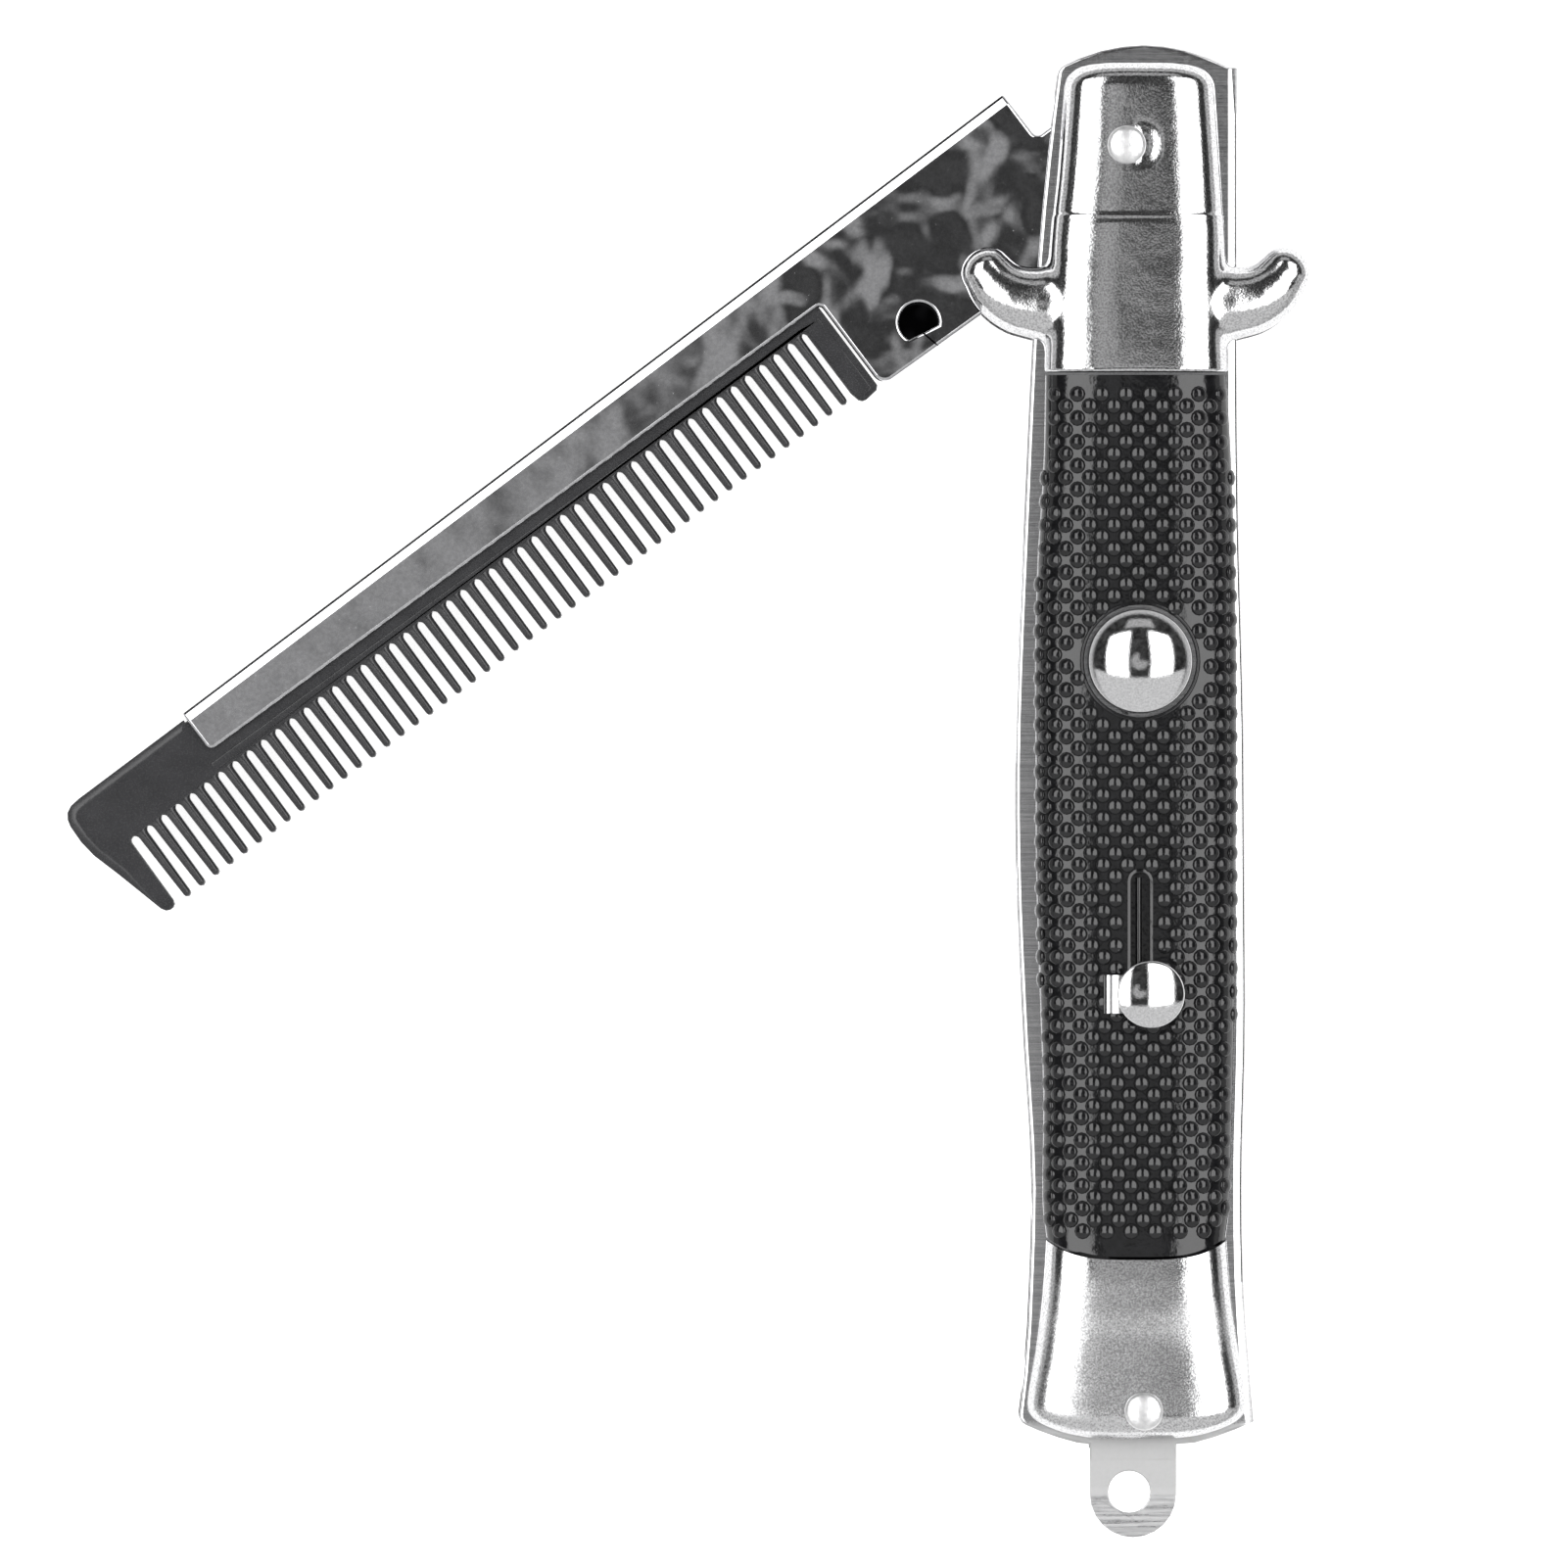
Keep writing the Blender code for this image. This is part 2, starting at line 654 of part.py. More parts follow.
def make_top_bolster(parts, cutters):
    bolster = domed_bar(
        "front_top_bolster", TOP_BOLSTER_SECTIONS, bolster_height,
        (TOP_ARCH, 0.0), (BOLSTER_ROUNDING, 0.0), parts)
    below = block("below_guards", (-REACH, -REACH, -REACH), (REACH, 0.0, SEAT), cutters)
    for side, label in ((1, "right_guard"), (-1, "left_guard")):
        horn = guard(label, side, parts)
        cut(horn, below)
        join(bolster, horn)
    hole = disc("bolster_pivot_hole", (0, 0), RIVET_RADIUS + RIVET_CLEARANCE, 0.0, REACH, cutters)
    cut(bolster, hole)
    return bolster


def make_bottom_bolster(parts, cutters):
    bolster = domed_bar(
        "front_bottom_bolster", BOTTOM_BOLSTER_SECTIONS, lambda y: BOLSTER_HEIGHT,
        (0.0, BOLSTER_FOOT_ARCH), (0.0, BOLSTER_ROUNDING), parts)
    above = beside_seam("above_bolster", BOLSTER_TOP_Y, BOLSTER_TOP_Y + REACH, cutters)
    hole = disc(
        "bolster_foot_hole", BOTTOM_RIVET, RIVET_RADIUS + RIVET_CLEARANCE, 0.0, REACH, cutters)
    cut(bolster, above, hole)
    return bolster


def make_scale(name, parts, cutters):
    scale = domed_bar(
        name, SCALE_SECTIONS, lambda y: SCALE_HEIGHT, (0.0, 0.0), (0.0, 0.0), parts)
    below = beside_seam("below_" + name, SCALE_FOOT_Y, SCALE_FOOT_Y - REACH, cutters)
    cut(scale, below)
    return scale


def mirrored(source, name, parts):
    """The same piece on the handle's back."""
    mesh = source.data.copy()
    mesh.name = name
    mesh.transform(Matrix.Scale(-1.0, 4, (0.0, 0.0, 1.0)))
    mesh.flip_normals()
    return add_object(name, mesh, parts)


def make_front_scale(parts, cutters):
    scale = make_scale("front_scale", parts, cutters)
    well = disc("button_well", BUTTON_AT, BUTTON_WELL_RADIUS, 0.0, REACH, cutters, sides=36)
    slot = slot_cutter("scale_slot", SLOT_WIDTH, 0.0, cutters)
    cut(scale, well, slot)
    return scale


# Rivets, button and slider

def make_rivet(name, at, top_z, parts):
    """A shank with a low domed head at both ends."""
    head_foot = top_z + RIVET_SEAT_GAP
    dome = []
    for angle in spaced(0.0, math.radians(75), 4):
        dome.append((RIVET_HEAD_RADIUS * math.sin(angle),
                     head_foot + RIVET_RIM + RIVET_HEAD_HEIGHT * math.cos(angle)))
    upper = dome + [(RIVET_HEAD_RADIUS, head_foot), (RIVET_RADIUS, head_foot)]
    lower = [(radius, -z) for radius, z in reversed(upper)]
    return turned(name, at, upper + lower, parts, sides=18)


def make_button(parts):
    """A domed button with a stepped skirt and a short stem."""
    shoulder_z = BUTTON_SKIRT_Z + BUTTON_SKIRT
    profile = []
    for angle in spaced(0.0, math.radians(84), 7):
        profile.append((BUTTON_STEP_RADIUS * math.sin(angle),
                        shoulder_z + (BUTTON_TOP_Z - shoulder_z) * math.cos(angle)))
    profile += [
        (BUTTON_STEP_RADIUS + BUTTON_LEDGE, shoulder_z),
        (BUTTON_RADIUS, shoulder_z - BUTTON_SKIRT_SLOPE),
        (BUTTON_RADIUS, BUTTON_SKIRT_Z - BUTTON_SKIRT_DEPTH),
        (BUTTON_STEM_RADIUS, BUTTON_SKIRT_Z - BUTTON_SKIRT_DEPTH),
        (BUTTON_STEM_RADIUS, BUTTON_STEM_END_Z),
        (0.0, BUTTON_STEM_END_Z),
    ]
    return turned("release_button", BUTTON_AT, profile, parts, sides=28)


def make_slider(parts):
    """A flat plate on the scale with a stem in the slot and a round knob."""
    plate_top = SLIDER_PLATE_Z + SLIDER_PLATE_THICK
    y = SLIDER_KNOB.y
    slider = block(
        "safety_slider", (SLIDER_PLATE_LEFT, y - SLIDER_PLATE_HALF, SLIDER_PLATE_Z),
        (SLIDER_PLATE_RIGHT, y + SLIDER_PLATE_HALF, plate_top), parts)
    stem = block(
        "slider_stem", (SLOT_X - SLIDER_STEM_WIDTH / 2, y - SLIDER_STEM_LENGTH / 2, BUTTON_STEM_END_Z),
        (SLOT_X + SLIDER_STEM_WIDTH / 2, y + SLIDER_STEM_LENGTH / 2, SLIDER_PLATE_Z + SLIDER_STEM_ROOT),
        parts)
    profile = []
    for angle in spaced(0.0, math.radians(125), 9):
        profile.append((SLIDER_KNOB_RADIUS * math.sin(angle),
                        SLIDER_KNOB_TOP_Z - (1 - math.cos(angle)) * SLIDER_KNOB_RISE))
    profile.append((0.0, profile[-1][1]))
    knob = turned("slider_knob", SLIDER_KNOB, profile, parts)
    join(slider, stem, knob)
    return slider


# Comb

def comb_point(s, t):
    """From the comb's own directions to the plan round the hinge."""
    along = Vector((math.cos(COMB_ANGLE), math.sin(COMB_ANGLE)))
    toward_teeth = Vector((-along.y, along.x))
    place = along * (s - COMB_HINGE_S) + toward_teeth * (t - COMB_HINGE_T)
    return (place.x, place.y)


def comb_outline(points):
    return [comb_point(s, t) for s, t in points]


def make_comb_back(parts, cutters):
    """The folded steel sheet: tang, heel and the bar that clasps the insert."""
    tang_middle = (TANG_T + HEEL_ROOT_T) / 2
    tang_half = (HEEL_ROOT_T - TANG_T) / 2
    outline = [(0.0, 0.0)]
    outline += rounded_corner((0.0, 0.0), (0.0, TANG_T), (COMB_HINGE_S, TANG_T), TANG_CORNER)
    for angle in spaced(-math.pi / 2, math.pi / 2, 9):
        outline.append((COMB_HINGE_S - TANG_LENGTH * math.cos(angle),
                        tang_middle + tang_half * math.sin(angle)))
    heel_root = (HEEL_ROOT_S, HEEL_ROOT_T)
    outline.append(heel_root)
    outline += rounded_corner(heel_root, (HEEL_END_S, HEEL_T), (HEEL_END_S, 0.0), HEEL_CORNER)
    outline.append((HEEL_END_S, BAR_ROOT_T))
    outline += rounded_corner((HEEL_END_S, BAR_ROOT_T), (BAR_END_S, BAR_END_T), (BAR_END_S, 0.0), BAR_CORNER)
    outline.append((BAR_END_S, 0.0))
    back = solid_outline("comb_back", comb_outline(outline), -COMB_HALF, COMB_HALF, parts)
    corner = Vector(comb_point(0.0, 0.0))
    away = Vector(comb_point(0.0, -1.0)) - corner
    bevel_edges(back.data, COMB_BEND_RADIUS, 3, lambda edge: (
        all(abs((vert.co.xy - corner).dot(away)) < 0.02 * MM for vert in edge.verts)
        and abs(edge.verts[0].co.z - edge.verts[1].co.z) < COMB_HALF))
    slot_half = COMB_HALF - COMB_SHEET
    slot = solid_outline("insert_slot", comb_outline([
        (HEEL_END_S, COMB_SHEET), (HEEL_END_S, REACH),
        (BAR_END_S + REACH, REACH), (BAR_END_S + REACH, COMB_SHEET),
    ]), -slot_half, slot_half, cutters)
    catch = []
    flat_angle = math.acos(CATCH_FLAT / CATCH_HOLE_RADIUS)
    for angle in spaced(flat_angle, 2 * math.pi - flat_angle, 15):
        catch.append((CATCH_HOLE.x + CATCH_HOLE_RADIUS * math.sin(angle + CATCH_TURN),
                      CATCH_HOLE.y + CATCH_HOLE_RADIUS * math.cos(angle + CATCH_TURN)))
    # the hole is in the front of the fold only: the back sheet closes it
    catch_hole = solid_outline("catch_hole", comb_outline(catch), -slot_half, REACH, cutters)
    pivot = disc("comb_pivot_hole", (0, 0), RIVET_RADIUS + RIVET_CLEARANCE, -REACH, REACH, cutters)
    cut(back, slot, catch_hole, pivot)
    return back


def tooth_columns():
    """Each thin tooth's middle, tip and the depth of the gaps beside it."""
    for index in range(TOOTH_COUNT):
        share = index / (TOOTH_COUNT - 1)
        s = FIRST_TOOTH_S + index * TOOTH_PITCH
        tip = TOOTH_TIP_T[0] + (TOOTH_TIP_T[1] - TOOTH_TIP_T[0]) * share
        gap = GAP_TOP_T[0] + (GAP_TOP_T[1] - GAP_TOP_T[0]) * share
        yield s, tip, gap


def make_comb_teeth(parts):
    """The moulded insert: a spine held by the sheet, 47 thin teeth and the nose."""
    seat_t = COMB_SHEET + INSERT_GAP
    heel_s = HEEL_END_S + INSERT_GAP
    outline = [(heel_s, seat_t), (heel_s, HEEL_T - TIP_ROUNDING), (heel_s + TIP_ROUNDING, HEEL_T)]
    outline += [(END_TOOTH_S - 2.5 * TIP_ROUNDING, END_TOOTH_TIP_T),
                (END_TOOTH_S - TIP_ROUNDING, END_TOOTH_TIP_T - TIP_ROUNDING),
                (END_TOOTH_S, END_TOOTH_TIP_T - 4 * TIP_ROUNDING)]
    outline.append((END_TOOTH_S, GAP_TOP_T[0] + ROOT_ROUNDING))
    for s, tip, gap in tooth_columns():
        outline += [
            (s - TOOTH_PITCH / 2, gap),
            (s - TOOTH_ROOT_HALF, gap + ROOT_ROUNDING),
            (s - TOOTH_TIP_HALF, tip - TIP_ROUNDING),
            (s, tip),
            (s + TOOTH_TIP_HALF, tip - TIP_ROUNDING),
            (s + TOOTH_ROOT_HALF, gap + ROOT_ROUNDING),
        ]
    outline += [(s * MM, t * MM) for s, t in NOSE_OUTLINE]
    nose_s = BAR_END_S + INSERT_GAP
    outline += [(nose_s, COMB_SHEET), (nose_s, seat_t)]
    return solid_outline("comb_teeth", comb_outline(outline), -INSERT_HALF, INSERT_HALF, parts)


# Assembly

def place(pieces, at, parts, name):
    """Hang pieces on an empty at their joint's axis, their origins there too."""
    anchor = bpy.data.objects.new(name, None)
    anchor.empty_display_size = 5.0 * MM
    anchor.location = HINGE + Vector((at[0], at[1], 0.0))
    parts.objects.link(anchor)
    for piece in pieces:
        piece.data.transform(Matrix.Translation((-at[0], -at[1], 0.0)))
        piece.parent = anchor


def shade(piece, material, smooth_angle):
    piece.data.materials.clear()
    piece.data.materials.append(material)
    piece.data.shade_smooth()
    piece.data.set_sharp_from_angle(angle=math.radians(smooth_angle))


def build():
    clear_scene()
    parts = new_collection("folding_comb")
    cutters = new_collection("cutters")
    chrome = finish("bright_plate", (0.80, 0.80, 0.80), 1.0, 0.12)
    steel = finish("brushed_steel", (0.42, 0.42, 0.43), 1.0, 0.35)
    black = finish("black_plastic", (0.010, 0.010, 0.011), 0.0, 0.22)
    grey = finish("grey_plastic", (0.045, 0.045, 0.048), 0.0, 0.5)
    aluminium = finish("aluminium", (0.82, 0.82, 0.83), 1.0, 0.3)

    channel = make_channel(parts, cutters)
    front_top = make_top_bolster(parts, cutters)
    back_top = mirrored(front_top, "back_top_bolster", parts)
    front_bottom = make_bottom_bolster(parts, cutters)
    back_bottom = mirrored(front_bottom, "back_bottom_bolster", parts)
    front_scale = make_front_scale(parts, cutters)
    back_scale = mirrored(make_scale("plain_scale", parts, cutters), "back_scale", parts)
    bpy.data.objects.remove(bpy.data.objects["plain_scale"], do_unlink=True)
    crown = SEAT + BOLSTER_HEIGHT
    pivot_rivet = make_rivet("pivot_rivet", (0.0, 0.0), crown - BOLSTER_STEP, parts)
    bottom_rivet = make_rivet("bottom_rivet", BOTTOM_RIVET, crown, parts)
    button = make_button(parts)
    slider = make_slider(parts)
    comb_back = make_comb_back(parts, cutters)
    comb_teeth = make_comb_teeth(parts)

    for piece in (front_top, back_top, front_bottom, back_bottom, button, slider, comb_back):
        shade(piece, chrome, 32)
    for piece in (front_scale, back_scale):
        shade(piece, black, 35)
    for piece in (pivot_rivet, bottom_rivet):
        shade(piece, aluminium, 40)
    shade(channel, steel, 30)
    shade(comb_teeth, grey, 30)

    handle = [channel, front_scale, back_scale, front_top, back_top, front_bottom, back_bottom,
              pivot_rivet, bottom_rivet]
    place(handle, (0.0, 0.0), parts, "handle_frame")
    place([comb_back, comb_teeth], (0.0, 0.0), parts, "comb_hinge")
    place([button], BUTTON_AT, parts, "button_axis")
    place([slider], SLIDER_KNOB, parts, "slider_axis")
    for cutter in cutters.objects:
        cutter.location = HINGE


build()
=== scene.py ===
"""Looks of the folding pocket comb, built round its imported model.

Pieces are modelled in millimetres from the comb's hinge axis and the handle's mid plane,
then set into the model's frame in metres. Every finished object sits at the origin.
"""
import json
import math

import bmesh
import bpy
from mathutils import Matrix, Vector


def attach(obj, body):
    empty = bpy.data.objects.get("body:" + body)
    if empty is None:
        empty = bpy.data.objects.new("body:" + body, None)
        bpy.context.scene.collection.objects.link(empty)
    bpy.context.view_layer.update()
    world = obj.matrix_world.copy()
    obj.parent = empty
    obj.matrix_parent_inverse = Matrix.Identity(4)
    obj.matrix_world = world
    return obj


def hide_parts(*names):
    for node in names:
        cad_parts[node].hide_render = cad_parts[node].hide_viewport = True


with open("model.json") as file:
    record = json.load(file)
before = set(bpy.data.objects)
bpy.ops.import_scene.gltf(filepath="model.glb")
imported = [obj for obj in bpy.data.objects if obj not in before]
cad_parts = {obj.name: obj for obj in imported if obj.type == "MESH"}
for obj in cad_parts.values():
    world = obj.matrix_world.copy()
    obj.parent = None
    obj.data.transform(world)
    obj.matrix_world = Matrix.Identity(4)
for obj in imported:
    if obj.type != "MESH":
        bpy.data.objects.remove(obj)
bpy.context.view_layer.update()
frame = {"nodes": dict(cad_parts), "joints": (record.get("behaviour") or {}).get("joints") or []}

MM = 0.001
NODES = frame["nodes"]
HINGE = Vector(next(joint for joint in frame["joints"] if joint["name"] == "comb_hinge")["pos_m"])

# What stands on the front plate: heights over the mid plane, sections as (y, left x, right x)
SEAT = 3.25
SCALE_HEIGHT = 3.3
BOLSTER_HEIGHT = 3.45
# exponents of the domes' cross-sections; 2 would be an ellipse
GRIP_FULLNESS = 2.7
TOP_FULLNESS = 3.3
FOOT_FULLNESS = 3.4
TOP_BOLSTER = (
    (6.9, -5.25, 7.50), (4.7, -5.43, 7.71), (-2.5, -5.98, 8.18),
    (-6.0, -6.36, 8.38), (-12.2, -6.83, 8.60), (-19.4, -7.02, 8.71),
)
SCALE = (
    (-19.65, -6.94, 8.60), (-27.5, -7.10, 9.04), (-35.6, -7.60, 9.31), (-43.8, -7.81, 9.45),
    (-54.5, -7.75, 9.45), (-61.7, -7.73, 9.41), (-73.9, -7.36, 9.30), (-81.4, -7.11, 9.14),
    (-90.5, -7.17, 8.88), (-93.35, -6.85, 8.55),
)
BOTTOM_BOLSTER = (
    (-93.6, -6.87, 8.60), (-98.4, -7.18, 8.98), (-102.7, -7.70, 9.55),
    (-106.4, -8.35, 10.18), (-109.4, -8.65, 10.43),
)
# how far the end lines bow along the handle at their middle, and how far up the bow fades
SEAM_ARCH = -1.65
FOOT_ARCH = -1.2
TOP_ARCH = 0.25
ARCH_FLATNESS = 3.5
ARCH_REACH = 9.0
TOP_ROUNDING = 1.9
FOOT_ROUNDING = 2.0

# Top bolster: guards as (x outwards, y, radius), the crease and the dimple right of the rivet
GUARD_PATH = (
    (4.6, -13.6, 3.3), (7.6, -13.5, 3.25), (10.0, -13.1, 2.95), (11.7, -12.1, 2.62),
    (12.9, -10.6, 2.18),
)
GUARD_TIP_LENGTH = 0.85
GUARD_FLATNESS = 0.78
GUARD_MIDDLE_X = 0.85
SKIN_GRAIN = 0.15
SKIN_SMOOTHING = 12
ROOT_SMOOTHING = 110
ROOT_OUT = (5.4, 7.2, 9.4, 11.0)
ROOT_Y = (-19.0, -17.2, -10.0, -8.2)
CREASE_Y = -6.05
CREASE_RUN = 0.3
CREASE_STEP = 0.12
CREASE_NARROWING = 0.08
GROOVE = (-0.22, 0.17, 0.06)
DIMPLE_REACH = (1.9, 3.4)
DIMPLE_RIGHT = (0.3, 1.5)
DIMPLE_HALF = (0.8, 2.4)
DIMPLE_DEPTH = 0.17

# Channel: its tab's hole, and the folds of its long edges as (from z, to z, shift x, new z)
TAB_HOLE = (0.28, -115.2)
TAB_HOLE_RADIUS = 1.8
TAB_HOLE_ROUNDING = 0.28
RIGHT_FOLDS = ((2.85, 2.95, 0.17, 2.865), (2.6, 2.7, 0.01, 2.80))
LEFT_FOLD = (2.94, 2.99, 0.0, 2.95)
PLATE_FACE = 2.995
LEFT_FACE_SHIFT = 0.06
ROLL_LEVEL = 2.79
SPINE_X = 8.0
SPINE_NOTCH_Y = 6.0
OPEN_SIDE_X = -4.0

# Comb: s runs along its back towards the nose, t from the back towards the teeth
COMB_ANGLE = math.radians(217.04)
ALONG = Vector((math.cos(COMB_ANGLE), math.sin(COMB_ANGLE)))
ACROSS = Vector((-ALONG.y, ALONG.x))
COMB_HINGE_S = -5.67
COMB_HINGE_T = 9.88
COMB_HALF = 1.8
SHEET_THICKNESS = 0.45
SHEET_ROUNDING = 0.27
STRIP_WIDTH = 0.86
STRIP_TILT = math.radians(14)
LIP_WIDTH = 0.2
LIP_TILT = math.radians(29)
# the tang is half round, from t to t, and reaches behind the hinge
TANG_T = (4.65, 13.9)
TANG_REACH = 4.6
TANG_ROOT_S = 12.9
TANG_CORNER = 0.6
HEEL_CORNER = 1.1
NECK_CORNER = 0.35
BAR_CORNER = 0.6
HEEL_END_S = 23.35
HEEL_T = 13.65
BAR_END_S = 88.15
BAR_ROOT_T = 4.92
BAR_END_T = 3.96
# outer edges in the finish's turned coordinates, as (axis, at the edge, just inside it)
SHEET_EDGES = (("Y", -31.0, -30.97), ("Y", -17.83, -17.86), ("X", -43.5, -43.4))
# the catch hole and how far its flat side lies from its middle; the seam leads to the heel's edge
CATCH_HOLE = (17.54, 11.20)
CATCH_RADIUS = 1.68
CATCH_FLAT = 0.94
CATCH_TURN = math.radians(10)
SEAM_CUT = ((17.76, 12.0), (17.91, 12.0), (17.41, 14.2), (17.26, 14.2))

# Insert and teeth; the start goes round the heel, along the tooth roots and up the last gap
INSERT_HALF = 1.1
INSERT_START = (
    (23.6, 0.7), (23.6, 13.35), (23.9, 13.65), (25.1, 13.78), (25.45, 13.68), (25.68, 13.4),
    (25.85, 12.58), (25.85, 6.3), (26.0, 6.05), (26.3, 5.95), (97.9, 5.84), (98.15, 5.95),
    (98.25, 6.2), (98.35, 12.2), (98.48, 12.58), (98.75, 12.75), (99.1, 12.75), (99.4, 12.6),
    (99.65, 12.2),
)
# the nose's back and front, from the sheet's end round to the last tooth
NOSE_RIM = (
    (88.0, 0.45), (99.6, 0.42), (100.5, 0.5), (101.1, 0.8), (101.45, 1.3), (101.62, 1.9),
    (101.68, 3.5), (101.50, 5.1), (100.75, 7.8),
)
INSERT_END = ((88.4, 0.45), (88.4, 0.7))
# the raised ledge beside the sheet's edge
LEDGE = (
    (24.15, 13.25), (24.15, 5.75), (88.75, 4.85), (88.75, 5.6), (26.0, 5.7), (25.6, 6.2),
    (25.6, 13.2), (24.9, 13.4),
)
LEDGE_RISE = 0.1
# the nose falls off towards its rim over the slope's width
NOSE_SLOPE = 0.8
NOSE_DROP = 0.3
NOSE_FALL = 1.4
NARROW_EDGE = 0.12
TOOTH_COUNT = 47
TOOTH_PITCH = 1.5276
FIRST_TOOTH = (26.77, 5.93)
ROOT_LINE_FALL = 0.11
TOOTH_LENGTH = 7.1
LAST_TOOTH_LENGTH = 6.96
TOOTH_HALF = 0.46
TOOTH_TAPER = 0.13
TOOTH_FLARE = 0.30
FLARE_END = 0.06
TOOTH_DEPTH = 1.12
TOOTH_STATIONS = (0.0, 0.02, 0.04, 0.07, 0.4, 0.75, 0.945, 0.965, 0.985, 1.0)
TIP_START = 0.945
# half a tooth's section, as shares of its half width and depth
TOOTH_SECTION = (
    (1.0, 0.0), (1.0, 0.72), (0.92, 0.86), (0.1, 1.0), (-0.35, 1.0), (-0.7, 0.93),
    (-0.93, 0.75), (-1.0, 0.5), (-1.0, 0.0),
)

# Rivets, button and slider; caps are (dome radius, rise, fullness, reach, top z, edge roll)
BOTTOM_RIVET = (1.47, -108.17)
RIVET_HEAD = 1.65
RIVET_SHANK = 1.1
RIVET_CROWN = 0.5
BUTTON_AT = (1.15, -44.1)
BUTTON_CAP = (6.5, 5.95, 2.12, 4.33, 9.1, 0.2)
BUTTON_BODY = ((4.48, 5.70), (1.6, 5.70), (1.6, 2.5), (0.0, 2.5))
WELL_RADIUS = 4.86
COLLAR_RADIUS = 4.98
COLLAR_BEAD = 0.17
COLLAR_SINK = 0.06
SLOT_X = 1.16
SLOT_WIDTH = 1.55
SLOT_FLOOR_Z = 5.6
SLOT_TOP_Y = -62.1
SLOT_FOOT_Y = -74.4
SLOT_END_INSET = 0.8
# the swelling round the slot, as (width, height over the grip)
SLOT_LIPS = ((1.55, -0.9), (1.58, 0.05), (1.68, 0.08), (2.25, -0.02), (2.3, -0.9))
RIB_SHIFT = -0.12
RIB_RADIUS = 0.3
SLIDER_KNOB = (2.04, -72.55)
SLIDER_LEAN = (0.126, -0.03)
KNOB_CAP = (7.5, 7.5, 2.0, 2.75, 9.35, 0.22)
KNOB_UNDERSIDE = ((2.80, 7.85), (2.3, 7.45), (0.0, 7.45))
KNOB_LEAN_FROM = 7.9
TAB_SECTION = (
    (-1.93, 7.0), (-1.93, 7.16), (-1.87, 7.22), (-1.55, 7.31), (-1.45, 7.16), (-1.24, 7.16),
    (-1.16, 7.38), (-0.70, 7.49), (2.4, 7.5), (2.4, 7.0),
)
TAB_HALF = 1.63
STEM_HALF = (0.5, 1.5)
STEM_Z = (5.9, 7.4)

# Nubs on the grips, as (radius, height) from the top down, and their staggered rows
NUB_PROFILE = ((0.15, 0.312), (0.26, 0.285), (0.50, 0.213), (0.59, 0.172), (0.66, 0.09), (0.71, -0.04))
NUB_HEIGHT = 0.32
NUB_SIDES = 12
NUB_HALF_PITCH = 1.04
NUB_ROW_PITCH = 1.0202
NUB_COLUMNS_EACH_SIDE = 9
# the rows close up towards the foot, by this much times the row's number squared
NUB_CLOSING = (0.000085, 0.000376)
NUB_FIRST_Y = -21.29
NUB_ROWS = 73
NUB_MIDDLE_X = 0.98
NUB_STEEPEST = 0.2
NUB_BUTTON_CLEARANCE = 5.45
NUB_SLOT_CLEARANCE = 1.55

# Where the finishes change, from and to: the foot caps' dulled crown and its right side, the
# channel's mill finish and the rubbed patch round its hole (in the model's frame), and the
# satin part of the comb (turned along it)
CROWN_Y = (-39.0, -54.0)
CROWN_RIGHT_X = (38.2, 41.6)
MILL_FINISH_Y = (-53.5, -55.5)
HOLE_RUB_Y = (-59.5, -60.5)
COMB_RUB_X = (-34.0, 8.0)

# The photograph's view: the lens over the hinge, and its focal length for a 36 mm sensor
LENS_FROM_HINGE = (-29.27, -54.60, 1500.0)
FOCAL_LENGTH = 401.5


def linear(colour):
    """An sRGB hex colour as linear values."""
    values = []
    for start in (1, 3, 5):
        part = int(colour[start:start + 2], 16) / 255
        values.append(part / 12.92 if part <= 0.04045 else ((part + 0.055) / 1.055) ** 2.4)
    return (*values, 1.0)


def add(tree, kind, inputs=(), output=0, stops=(), **settings):
    """Adds one node with its settings, colour stops and links, and gives one of its outputs.

    Inputs are values or other nodes' outputs, by name or number or in the sockets' order.
    """
    node = tree.nodes.new(kind)
    for key, value in settings.items():
        setattr(node, key, value)
    for _ in stops[2:]:
        node.color_ramp.elements.new(0.5)
    for index, (position, colour) in enumerate(stops):
        node.color_ramp.elements[index].position = position
        node.color_ramp.elements[index].color = linear(colour)
    for key, value in (inputs if isinstance(inputs, dict) else dict(enumerate(inputs))).items():
        if isinstance(value, bpy.types.NodeSocket):
            tree.links.new(value, node.inputs[key])
        else:
            node.inputs[key].default_value = value
    return node.outputs[output] if node.outputs else node


def spaced(first, last, count):
    """Evenly spaced values from first to last."""
    return [first + (last - first) * step / (count - 1) for step in range(count)]


def smooth_between(sections, y):
    """The columns after y at a height, on a smooth curve through the sections."""
    rows = sorted(sections)
    y = min(max(y, rows[0][0]), rows[-1][0])
    index = next(i for i in range(len(rows) - 1) if y <= rows[i + 1][0])
    before, start, end, after = (
        rows[max(index - 1, 0)], rows[index], rows[index + 1], rows[min(index + 2, len(rows) - 1)])
    share = (y - start[0]) / (end[0] - start[0])
    values = []
    for column in range(1, len(start)):
        slope_in = (end[column] - before[column]) / (end[0] - before[0]) * (end[0] - start[0])
        slope_out = (after[column] - start[column]) / (after[0] - start[0]) * (end[0] - start[0])
        values.append(
            (2 * share ** 3 - 3 * share ** 2 + 1) * start[column]
            + (share ** 3 - 2 * share ** 2 + share) * slope_in
            + (3 * share ** 2 - 2 * share ** 3) * end[column]
            + (share ** 3 - share ** 2) * slope_out)
    return values


def smoothstep(value, low, high):
    """How far a value lies from low to high, eased at both ends."""
    share = min(max((value - low) / (high - low), 0.0), 1.0)
    return share * share * (3 - 2 * share)


# Meshes

